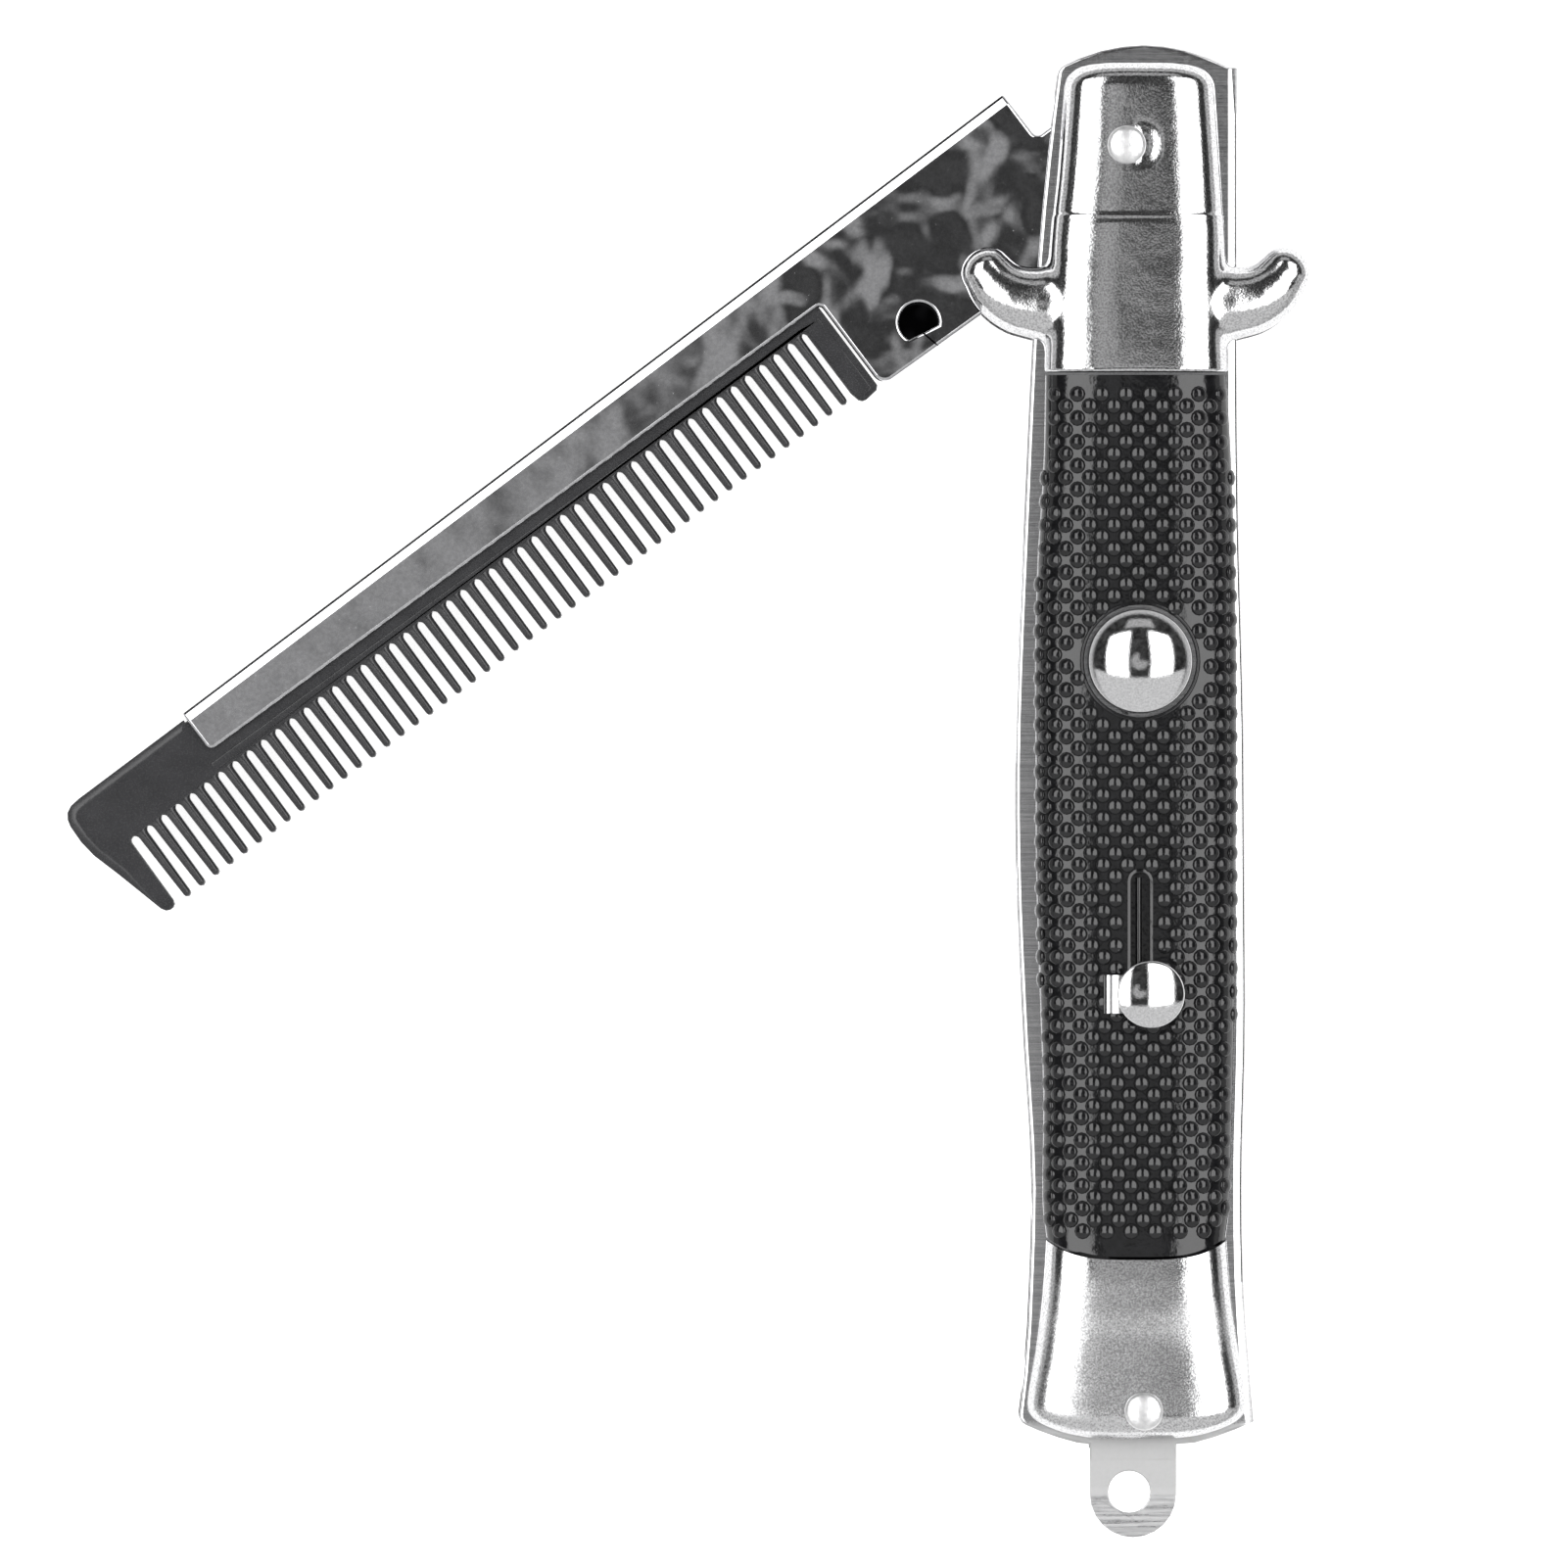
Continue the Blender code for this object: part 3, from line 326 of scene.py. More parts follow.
def new_object(name, mesh):
    """A mesh or curve as an object of the scene."""
    made = bpy.data.objects.new(name, mesh)
    bpy.context.scene.collection.objects.link(made)
    return made


def from_bmesh(name, work):
    """The worked mesh as a new object."""
    mesh = bpy.data.meshes.new(name)
    work.to_mesh(mesh)
    work.free()
    return new_object(name, mesh)


def applied(source):
    """The object's mesh with its modifiers or curve settings worked in."""
    bpy.context.view_layer.update()
    graph = bpy.context.evaluated_depsgraph_get()
    return bpy.data.meshes.new_from_object(source.evaluated_get(graph))


def bake_modifiers(source):
    """Works the modifiers into the object's mesh."""
    old = source.data
    source.data = applied(source)
    source.modifiers.clear()
    bpy.data.meshes.remove(old)


def drop(*objects):
    """Removes objects that are used up."""
    for old in objects:
        bpy.data.objects.remove(old, do_unlink=True)


def weld(mesh, flat_caps=False):
    """Merges points that coincide, and the parts of a flat face when asked."""
    work = bmesh.new()
    work.from_mesh(mesh)
    bmesh.ops.remove_doubles(work, verts=work.verts, dist=0.002)
    if flat_caps:
        inner = [edge for edge in work.edges if len(edge.link_faces) == 2 and edge.calc_face_angle() < 0.001]
        bmesh.ops.dissolve_edges(work, edges=inner, use_verts=False)
    bmesh.ops.recalc_face_normals(work, faces=work.faces)
    work.to_mesh(mesh)
    work.free()


def line_through(name, points, radii=(), closed=False, **settings):
    """A curve object of straight runs through the points, with its curve settings."""
    curve = bpy.data.curves.new(name, "CURVE")
    for key, value in settings.items():
        setattr(curve, key, value)
    spline = curve.splines.new("POLY")
    spline.points.add(len(points) - 1)
    for index, place in enumerate(points):
        spline.points[index].co = (*place, 1.0)
        if radii:
            spline.points[index].radius = radii[index]
    spline.use_cyclic_u = closed
    return new_object(name, curve)


def curve_mesh(*parts, **settings):
    """The mesh of such a curve; the curve is used up."""
    line = line_through(*parts, **settings)
    mesh = applied(line)
    drop(line)
    return mesh


def solid_outline(name, outline, low, high):
    """A flat outline as thick as from low to high."""
    mesh = curve_mesh(name, [(x, y, 0.0) for x, y in outline], closed=True,
                      dimensions="2D", fill_mode="BOTH", extrude=(high - low) / 2)
    mesh.transform(Matrix.Translation((0.0, 0.0, (low + high) / 2)))
    weld(mesh, flat_caps=True)
    return new_object(name, mesh)


def loft(name, rings):
    """A closed skin over rings with equal numbers of points."""
    work = bmesh.new()
    rows = [[work.verts.new(point) for point in ring] for ring in rings]
    for above, below in zip(rows, rows[1:]):
        for index in range(len(above)):
            following = (index + 1) % len(above)
            work.faces.new((above[index], above[following], below[following], below[index]))
    work.faces.new(rows[0])
    work.faces.new(reversed(rows[-1]))
    bmesh.ops.recalc_face_normals(work, faces=work.faces)
    return from_bmesh(name, work)


def turned(name, centre, profile, sides=72):
    """A round piece turned from (radius, z) points, listed from the axis at the top down."""
    work = bmesh.new()
    points = [work.verts.new((radius, 0.0, z)) for radius, z in profile]
    for above, below in zip(points, points[1:]):
        work.edges.new((above, below))
    made = from_bmesh(name, work)
    screw = made.modifiers.new("Turn", "SCREW")
    screw.steps = sides
    screw.render_steps = sides
    screw.use_merge_vertices = True
    screw.merge_threshold = 0.001
    bake_modifiers(made)
    made.data.transform(Matrix.Translation((centre[0], centre[1], 0.0)))
    weld(made.data)
    return made


def combine(target, other, operation):
    """Boolean with the exact solver; the other object is used up."""
    step = target.modifiers.new("Cut", "BOOLEAN")
    step.object = other
    step.operation = operation
    step.solver = "EXACT"
    bake_modifiers(target)
    drop(other)


def trim(work, place, normal, tolerance, **side):
    """Cuts a mesh at a plane, clears one side of it and closes the cut."""
    cut = bmesh.ops.bisect_plane(
        work, geom=work.verts[:] + work.edges[:] + work.faces[:], dist=tolerance,
        plane_co=place, plane_no=normal, **side)
    rim = [item for item in cut["geom_cut"] if isinstance(item, bmesh.types.BMEdge)]
    bmesh.ops.contextual_create(work, geom=rim)


def weighted_bevel(target, width, segments, weight_of, clamp=True):
    """Rounds each edge between two faces at an angle to its weight's share of the width."""
    mesh = target.data
    weights = mesh.attributes.new("bevel_weight_edge", "FLOAT", "EDGE")
    work = bmesh.new()
    work.from_mesh(mesh)
    bent = [edge.calc_face_angle(0.0) > 0.05 for edge in work.edges]
    work.free()
    for edge in mesh.edges:
        ends = [mesh.vertices[index].co for index in edge.vertices]
        weights.data[edge.index].value = weight_of(*ends) if bent[edge.index] else 0.0
    step = target.modifiers.new("Rounding", "BEVEL")
    step.limit_method = "WEIGHT"
    step.width = width
    step.segments = segments
    step.use_clamp_overlap = clamp
    step.loop_slide = False
    bake_modifiers(target)


def merged(name, *pieces):
    """Several objects as one mesh object."""
    work = bmesh.new()
    for piece in pieces:
        work.from_mesh(piece.data)
    drop(*pieces)
    return from_bmesh(name, work)


def node_group(name, inputs):
    """A geometry node tree with named inputs, and what its group input gives."""
    tree = bpy.data.node_groups.new(name, "GeometryNodeTree")
    tree.interface.new_socket("Geometry", in_out="OUTPUT", socket_type="NodeSocketGeometry")
    for label, kind in {"Geometry": "Geometry", **inputs}.items():
        tree.interface.new_socket(label, in_out="INPUT", socket_type="NodeSocket" + kind)
    return tree, add(tree, "NodeGroupInput").node.outputs


def end_group(tree, entry, added):
    """Joins what the tree adds to the piece, makes it real and gives it the finish."""
    whole = add(tree, "GeometryNodeJoinGeometry").node
    for part in (added, entry["Geometry"]):
        tree.links.new(part, whole.inputs[0])
    real = add(tree, "GeometryNodeRealizeInstances", (whole.outputs[0],))
    finished = add(tree, "GeometryNodeSetMaterial", {"Geometry": real, "Material": entry["Finish"]})
    add(tree, "NodeGroupOutput", (finished,))


def run_group(piece, tree, values):
    """Runs a node tree on a piece, with values for its named inputs."""
    step = piece.modifiers.new("Repeat", "NODES")
    step.node_group = tree
    for item in tree.interface.items_tree:
        if item.in_out == "INPUT" and item.name in values:
            step[item.identifier] = values[item.name]
    bake_modifiers(piece)


def finish(piece, material, body, node, sharp=40, flat_faces=False, crisp=None):
    """Sets a modelled piece into the frame, shades it and hands it to its body.

    Edges over sharp degrees, and those that crisp picks, stay hard; flat_faces keeps the
    shading of flat faces flat beside their rounded edges.
    """
    mesh = piece.data
    ends = [[mesh.vertices[index].co.copy() for index in edge.vertices] for edge in mesh.edges]
    mesh.transform(Matrix.Translation(HINGE) @ Matrix.Scale(MM, 4))
    mesh.materials.clear()
    mesh.materials.append(material)
    mesh.shade_smooth()
    mesh.set_sharp_from_angle(angle=math.radians(sharp))
    for edge, (first, second) in zip(mesh.edges, ends):
        if crisp and crisp(first, second):
            edge.use_edge_sharp = True
    if flat_faces:
        step = piece.modifiers.new("Flat faces", "WEIGHTED_NORMAL")
        step.keep_sharp = True
        step.weight = 100
        bake_modifiers(piece)
    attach(piece, body)
    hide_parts(node)


def mirrored(source, name):
    """The same piece on the handle's back, still in millimetres."""
    mesh = source.data.copy()
    mesh.transform(Matrix.Scale(-1.0, 4, (0.0, 0.0, 1.0)))
    mesh.flip_normals()
    return new_object(name, mesh)


# Finishes

def metre_to_mm(tree, stretch=(1.0, 1.0, 1.0), turn=0.0):
    """Object coordinates in millimetres, stretched and turned in plan."""
    return add(tree, "ShaderNodeMapping", {
        "Vector": add(tree, "ShaderNodeTexCoord", output="Object"),
        "Rotation": (0.0, 0.0, turn), "Scale": tuple(part / MM for part in stretch)})


def new_material(name):
    """A material whose node tree is empty."""
    made = bpy.data.materials.new(name)
    made.use_nodes = True
    made.node_tree.nodes.clear()
    return made, made.node_tree


def surface(tree, inputs):
    """The shader with its inputs, as the material's surface."""
    shader = add(tree, "ShaderNodeBsdfPrincipled", inputs)
    add(tree, "ShaderNodeOutputMaterial", {"Surface": shader})


def share_of(tree, place, axis, low, high):
    """How far a place lies from low to high along an axis, from 0 to 1."""
    part = add(tree, "ShaderNodeSeparateXYZ", (place,), axis)
    return add(tree, "ShaderNodeMapRange", (part, low, high))


def folded(tree, operation, *values):
    """Values or outputs taken together by one sum, one after another."""
    result = values[0]
    for value in values[1:]:
        result = add(tree, "ShaderNodeMath", (result, value), operation=operation)
    return result


def pitted_plate():
    """Bright plating over a die casting: mirror gloss broken by pits about 0.15 mm across."""
    made, tree = new_material("bright_plating_on_casting")
    place = metre_to_mm(tree)
    grain = add(tree, "ShaderNodeTexNoise", {"Vector": place, "Scale": 6.0, "Detail": 1.0})
    swell = add(tree, "ShaderNodeTexNoise", {"Vector": place, "Scale": 0.28, "Detail": 2.0})
    pits = add(tree, "ShaderNodeBump", {"Strength": 1.0, "Distance": 0.006 * MM, "Height": grain})
    waves = add(tree, "ShaderNodeBump", {
        "Strength": 1.0, "Distance": 0.04 * MM, "Height": swell, "Normal": pits})
    # the foot cap's crown is dulled from under the seam on, less on its right, with one paler band across
    crown = share_of(tree, place, "Y", *CROWN_Y)
    ramped = add(tree, "ShaderNodeValToRGB", (crown,), stops=(
        (0.05, "#000000"), (0.13, "#606060"), (0.22, "#A8A8A8"), (0.90, "#A8A8A8"), (0.97, "#C8C8C8")))
    right_side = share_of(tree, place, "X", *CROWN_RIGHT_X)
    shaded_side = add(tree, "ShaderNodeMath", (right_side, -0.5, 1.0), operation="MULTIPLY_ADD")
    patches = add(tree, "ShaderNodeTexNoise", {"Vector": place, "Scale": 0.35, "Detail": 1.0})
    cloud = add(tree, "ShaderNodeMapRange", (patches, 0.35, 0.65, 0.85, 1.0))
    band = add(tree, "ShaderNodeValToRGB", (crown,), stops=(
        (0.20, "#404040"), (0.41, "#B8B8B8"), (0.48, "#B8B8B8"), (0.68, "#404040")))
    dulled = folded(tree, "MAXIMUM", folded(tree, "MULTIPLY", ramped, shaded_side, cloud), band)
    clean = add(tree, "ShaderNodeMapRange", (grain, 0.35, 0.7, 0.08, 0.115))
    surface(tree, {
        "Base Color": add(tree, "ShaderNodeValToRGB", (grain,), stops=((0.30, "#B9B9BA"), (0.62, "#E4E4E5"))),
        "Metallic": 1.0,
        "Roughness": add(tree, "ShaderNodeMath", (dulled, 0.36, clean), operation="MULTIPLY_ADD"),
        "Normal": waves,
    })
    return made


def smooth_plate():
    """Bright plating on small turned parts: nearly a clean mirror, with a grain of 0.15 mm."""
    made, tree = new_material("bright_plating_on_turned_parts")
    grain = add(tree, "ShaderNodeTexNoise", {
        "Vector": metre_to_mm(tree), "Scale": 6.0, "Detail": 3.0, "Roughness": 0.65})
    surface(tree, {
        "Base Color": add(tree, "ShaderNodeValToRGB", (grain,), stops=((0.30, "#CFCFD0"), (0.65, "#EDEDEE"))),
        "Metallic": 1.0,
        "Roughness": add(tree, "ShaderNodeMapRange", (grain, 0.3, 0.7, 0.03, 0.06)),
        "Normal": add(tree, "ShaderNodeBump", {"Strength": 1.0, "Distance": 0.004 * MM, "Height": grain}),
    })
    return made


def brushed_steel():
    """Cold-rolled steel sheet, brushed across the handle: fine bright and dark lines.

    The lines are drawn about 0.2 mm apart; the real ones are too fine to show.
    """
    made, tree = new_material("brushed_steel_sheet")
    place = metre_to_mm(tree)
    lines = add(tree, "ShaderNodeTexNoise", {
        "Vector": metre_to_mm(tree, (0.12, 5.0, 0.12)), "Scale": 1.0, "Detail": 4.0, "Roughness": 0.7})
    specks = add(tree, "ShaderNodeTexNoise", {"Vector": place, "Scale": 3.0, "Detail": 2.0})
    # below the foot caps the sheet keeps its dull mill finish, brushed again round the tab's hole
    foot = share_of(tree, place, "Y", *MILL_FINISH_Y)
    strokes = add(tree, "ShaderNodeMapRange", (lines, 0.35, 0.62, 0.75, 0.35))
    rubbed = folded(tree, "MULTIPLY", share_of(tree, place, "Y", *HOLE_RUB_Y), strokes)
    dull = add(tree, "ShaderNodeMath", (rubbed, -1.0, 1.0), operation="MULTIPLY_ADD")
    mill = folded(tree, "MULTIPLY", foot, dull)
    clean = add(tree, "ShaderNodeMapRange", (specks, 0.3, 0.7, 0.13, 0.19))
    brushed = add(tree, "ShaderNodeValToRGB", (lines,), stops=((0.32, "#B2B2B4"), (0.66, "#D6D6D7")))
    surface(tree, {
        "Base Color": add(tree, "ShaderNodeMix", {
            "Factor": mill, "A": brushed, "B": linear("#BCBCBC")}, "Result", data_type="RGBA"),
        "Metallic": 1.0,
        "Roughness": add(tree, "ShaderNodeMath", (mill, 0.42, clean), operation="MULTIPLY_ADD"),
        "Normal": add(tree, "ShaderNodeBump", {"Strength": 1.0, "Distance": 0.006 * MM, "Height": lines}),
    })
    return made


def polished_sheet():
    """Polished steel sheet, a little wavy from rolling, rubbed to satin towards the nose, with painted shade
    inside its fold and catch hole.
    """
    made, tree = new_material("polished_steel_sheet")
    place = metre_to_mm(tree)
    along = metre_to_mm(tree, turn=-COMB_ANGLE)
    waves = add(tree, "ShaderNodeTexNoise", {"Vector": place, "Scale": 0.16, "Detail": 1.5})
    dust = add(tree, "ShaderNodeTexNoise", {"Vector": place, "Scale": 2.6, "Detail": 3.0, "Roughness": 0.8})
    patches = add(tree, "ShaderNodeTexNoise", {"Vector": along, "Scale": 0.11, "Detail": 3.0})
    specks = add(tree, "ShaderNodeMapRange", (dust, 0.70, 0.76, 0.0, 0.25))
    polish = folded(tree, "ADD", specks, 0.05)
    clouds = add(tree, "ShaderNodeMapRange", (patches, 0.40, 0.58, 0.6, 1.0))
    # the turned coordinates are s - 57.5 along X and t - 31.4 along Y
    rubbed = folded(tree, "MULTIPLY", share_of(tree, along, "X", *COMB_RUB_X), clouds)
    # inside the fold and the catch hole the sheet's colour is painted near black as shade, but not on its
    # outer edges
    height = add(tree, "ShaderNodeSeparateXYZ", (place,), "Z")
    depth = add(tree, "ShaderNodeMath", (height, HINGE.z / MM), operation="SUBTRACT")
    level = add(tree, "ShaderNodeMath", (depth,), operation="ABSOLUTE")
    low = add(tree, "ShaderNodeMath", (level, COMB_HALF - SHEET_THICKNESS + 0.01), operation="LESS_THAN")
    inward = [share_of(tree, along, *edge) for edge in SHEET_EDGES]
    inside = folded(tree, "MULTIPLY", low, *inward)
    bright = add(tree, "ShaderNodeValToRGB", (dust,), stops=((0.35, "#BDBDBF"), (0.7, "#D6D6D8")))
    surface(tree, {
        # painted shade: where inside is 1 the colour is near black #202022
        "Base Color": add(tree, "ShaderNodeMix", {
            "Factor": inside, "A": bright, "B": linear("#202022")}, "Result", data_type="RGBA"),
        "Metallic": 1.0,
        "Roughness": add(tree, "ShaderNodeMath", (rubbed, 0.11, polish), operation="MULTIPLY_ADD"),
        "Normal": add(tree, "ShaderNodeBump", {"Strength": 1.0, "Distance": 0.14 * MM, "Height": waves}),
    })
    return made


def black_grip():
    """Glossy black moulded plastic: soft orange-peel under a clean gloss."""
    made, tree = new_material("glossy_black_moulding")
    peel = add(tree, "ShaderNodeTexNoise", {"Vector": metre_to_mm(tree), "Scale": 1.6, "Detail": 2.0})
    surface(tree, {
        "Base Color": add(tree, "ShaderNodeValToRGB", (peel,), stops=((0.3, "#131314"), (0.7, "#1C1C1E"))),
        "Roughness": add(tree, "ShaderNodeMapRange", (peel, 0.3, 0.7, 0.07, 0.11)),
        "IOR": 1.54,
        "Normal": add(tree, "ShaderNodeBump", {"Strength": 1.0, "Distance": 0.02 * MM, "Height": peel}),
    })
    return made


def grey_moulding():
    """Satin dark grey moulded plastic with faint flow marks and light dust."""
    made, tree = new_material("satin_grey_moulding")
    place = metre_to_mm(tree)
    flow = add(tree, "ShaderNodeTexNoise", {"Vector": place, "Scale": 0.5, "Detail": 3.0})
    grain = add(tree, "ShaderNodeTexNoise", {"Vector": place, "Scale": 7.0, "Detail": 2.0})
    surface(tree, {
        "Base Color": add(tree, "ShaderNodeValToRGB", (flow,), stops=((0.3, "#29292B"), (0.7, "#333335"))),
        "Roughness": add(tree, "ShaderNodeMapRange", (grain, 0.3, 0.7, 0.22, 0.30)),
        "IOR": 1.5,
        "Normal": add(tree, "ShaderNodeBump", {"Strength": 1.0, "Distance": 0.01 * MM, "Height": grain}),
    })
    return made


def soft_aluminium():
    """Peened aluminium rivet heads: pale and satin, with dents about half a millimetre across."""
    made, tree = new_material("peened_aluminium")
    dents = add(tree, "ShaderNodeTexNoise", {"Vector": metre_to_mm(tree), "Scale": 2.2, "Detail": 2.0})
    surface(tree, {
        "Base Color": add(tree, "ShaderNodeValToRGB", (dents,), stops=((0.3, "#DCDCDD"), (0.7, "#F4F4F4"))),
        "Metallic": 1.0,
        "Roughness": 0.34,
        "Normal": add(tree, "ShaderNodeBump", {"Strength": 1.0, "Distance": 0.03 * MM, "Height": dents}),
    })
    return made


# Bolsters

def dome_points(y, left, right, height, arch, points, base, fullness):
    """One arched cross-section with upright feet below it."""
    middle = (left + right) / 2
    half = (right - left) / 2
    ring = []
    for angle in spaced(0.0, math.pi, points):
        side = math.copysign(abs(math.cos(angle)) ** (2 / fullness), math.cos(angle))
        rise = max(math.sin(angle), 0.0) ** (2 / fullness)
        lead = arch * (1 - abs(side) ** ARCH_FLATNESS)
        ring.append((middle + half * side, y + lead, SEAT + height * rise))
    floor = [(x, y_at, base) for x, y_at, z in reversed(ring)]
    return ring + floor


def domed_bar(name, sections, height, arches, rounding, fullness, points=41, pitch=1.0, base=SEAT):
    """A domed bar; arches and rounding give the bow and the edge radius at its top and foot."""
    top_y = sections[0][0]
    foot_y = sections[-1][0]
    ys = spaced(top_y - rounding[0], foot_y + rounding[1], round((top_y - foot_y) / pitch))
    stations = [(y, 0.0) for y in ys]
    rolled = [(1 - math.cos(angle), 1 - math.sin(angle)) for angle in spaced(0.06, 1.45, 9)]
    if rounding[0]:
        stations = [(top_y - rounding[0] * a, rounding[0] * b) for a, b in rolled] + stations
    if rounding[1]:
        stations += [(foot_y + rounding[1] * a, rounding[1] * b) for a, b in rolled[::-1]]
    rings = []
    for y, inset in stations:
        left, right = smooth_between(sections, y)
        near_top = max(0.0, 1 - (top_y - y) / ARCH_REACH)
        near_foot = max(0.0, 1 - (y - foot_y) / ARCH_REACH)
        arch = arches[0] * near_top + arches[1] * near_foot
        rings.append(dome_points(
            y, left + inset, right - inset, height - inset, arch, points, base, fullness))
    made = loft(name, rings)
    weld(made.data)
    return made


def guard(side):
    """A tapering horn with a round tip, as a tube along its path."""
    shares = [(float(index), *row) for index, row in enumerate(GUARD_PATH)]
    path = [Vector(smooth_between(shares, share)) for share in spaced(0.0, len(GUARD_PATH) - 1.0, 17)]
    heading = (path[-1].xy - path[-2].xy).normalized()
    tip = path[-1].copy()
    for angle in spaced(0.15, 1.45, 9):
        ahead = tip.xy + heading * tip.z * GUARD_TIP_LENGTH * math.sin(angle)
        path.append(Vector((ahead.x, ahead.y, tip.z * math.cos(angle))))
    mesh = curve_mesh(
        "guard", [(GUARD_MIDDLE_X + side * x, y, SEAT) for x, y, radius in path],
        [radius for x, y, radius in path],
        dimensions="3D", bevel_depth=1.0, bevel_resolution=12, use_fill_caps=True)
    weld(mesh)
    seat = Matrix.Translation((0.0, 0.0, SEAT))
    mesh.transform(seat @ Matrix.Diagonal((1.0, 1.0, GUARD_FLATNESS, 1.0)) @ seat.inverted())
    return new_object("guard", mesh)


def top_bolster():
    """Body and horns melted into one skin, then creased and set flat on the plate."""
    body = domed_bar("body", TOP_BOLSTER, BOLSTER_HEIGHT, (TOP_ARCH, 0.0), (TOP_ROUNDING, 0.0),
                     TOP_FULLNESS, base=SEAT - 3.0)
    skin = merged("front_top_cap", body, guard(1), guard(-1))
    melt = skin.modifiers.new("Melt", "REMESH")
    melt.mode = "VOXEL"
    melt.voxel_size = SKIN_GRAIN
    bake_modifiers(skin)
    # the horns' roots flow into the body
    roots = skin.vertex_groups.new(name="roots")
    for vertex in skin.data.vertices:
        out = abs(vertex.co.x - GUARD_MIDDLE_X)
        near = smoothstep(out, ROOT_OUT[0], ROOT_OUT[1]) * smoothstep(-out, -ROOT_OUT[3], -ROOT_OUT[2])
        near *= smoothstep(vertex.co.y, ROOT_Y[0], ROOT_Y[1])
        near *= smoothstep(-vertex.co.y, -ROOT_Y[3], -ROOT_Y[2])
        roots.add([vertex.index], near, "REPLACE")
    for iterations, group in ((SKIN_SMOOTHING, ""), (ROOT_SMOOTHING, "roots")):
        soften = skin.modifiers.new("Soften", "SMOOTH")
        soften.factor = 0.5
        soften.iterations = iterations
        soften.vertex_group = group
    bake_modifiers(skin)
    work = bmesh.new()
    work.from_mesh(skin.data)
    trim(work, (0.0, 0.0, SEAT), (0.0, 0.0, 1.0), 0.001, clear_inner=True)
    groove_at, groove_width, groove_depth = GROOVE
    for vert in work.verts:
        step = smoothstep(vert.co.y, CREASE_Y, CREASE_Y + CREASE_RUN)
        groove = math.exp(-((vert.co.y - CREASE_Y - groove_at) / groove_width) ** 2)
        dimple = 1 - smoothstep(vert.co.xy.length, *DIMPLE_REACH)
        dimple *= smoothstep(vert.co.x, *DIMPLE_RIGHT) * (1 - smoothstep(abs(vert.co.y), *DIMPLE_HALF))
        sink = CREASE_STEP * step + groove_depth * groove + DIMPLE_DEPTH * dimple
        vert.co.z -= min((vert.co.z - SEAT) / 1.5, 1.0) * sink
        out = vert.co.x - GUARD_MIDDLE_X
        vert.co.x -= math.copysign(CREASE_NARROWING * step, out) * min(abs(out) / 5, 1)
    bmesh.ops.recalc_face_normals(work, faces=work.faces)
    old = skin.data
    drop(skin)
    bpy.data.meshes.remove(old)
    return from_bmesh("front_top_cap", work)


# Grips with nubs

def nub_shape():
    """One low button with a gently pointed top, open below."""
    work = bmesh.new()
    turns = spaced(0.0, 2 * math.pi * (NUB_SIDES - 1) / NUB_SIDES, NUB_SIDES)
    rows = [[work.verts.new((radius * math.cos(turn), radius * math.sin(turn), z)) for turn in turns]
            for radius, z in NUB_PROFILE]
    top = work.verts.new((0.0, 0.0, NUB_HEIGHT))
    for index in range(NUB_SIDES):
        following = (index + 1) % NUB_SIDES
        work.faces.new((rows[0][index], rows[0][following], top))
        for above, below in zip(rows, rows[1:]):
            work.faces.new((below[index], below[following], above[following], above[index]))
    return from_bmesh("nub", work)


def nub_rail():
    """The grip's widest section as a curve, from one outer nub column to the other."""
    left, right = smooth_between(SCALE, -50.0)
    half = (right - left) / 2
    samples = [(0.0, 0.0, 0.0)]
    for x in spaced(0.01, half * 0.9999, 600):
        z = -SCALE_HEIGHT * (1 - (1 - (x / half) ** GRIP_FULLNESS) ** (1 / GRIP_FULLNESS))
        step = math.dist((x, z), samples[-1][:2])
        samples.append((x, z, samples[-1][2] + step))
    reach = NUB_HALF_PITCH * NUB_COLUMNS_EACH_SIDE
    side = [(x, z) for x, z, run in samples if run <= reach + 0.02]
    outline = [(-x, z) for x, z in reversed(side[1:])] + side
    return line_through("nub_rail", [(x + NUB_MIDDLE_X, 0.0, z) for x, z in outline], dimensions="3D")


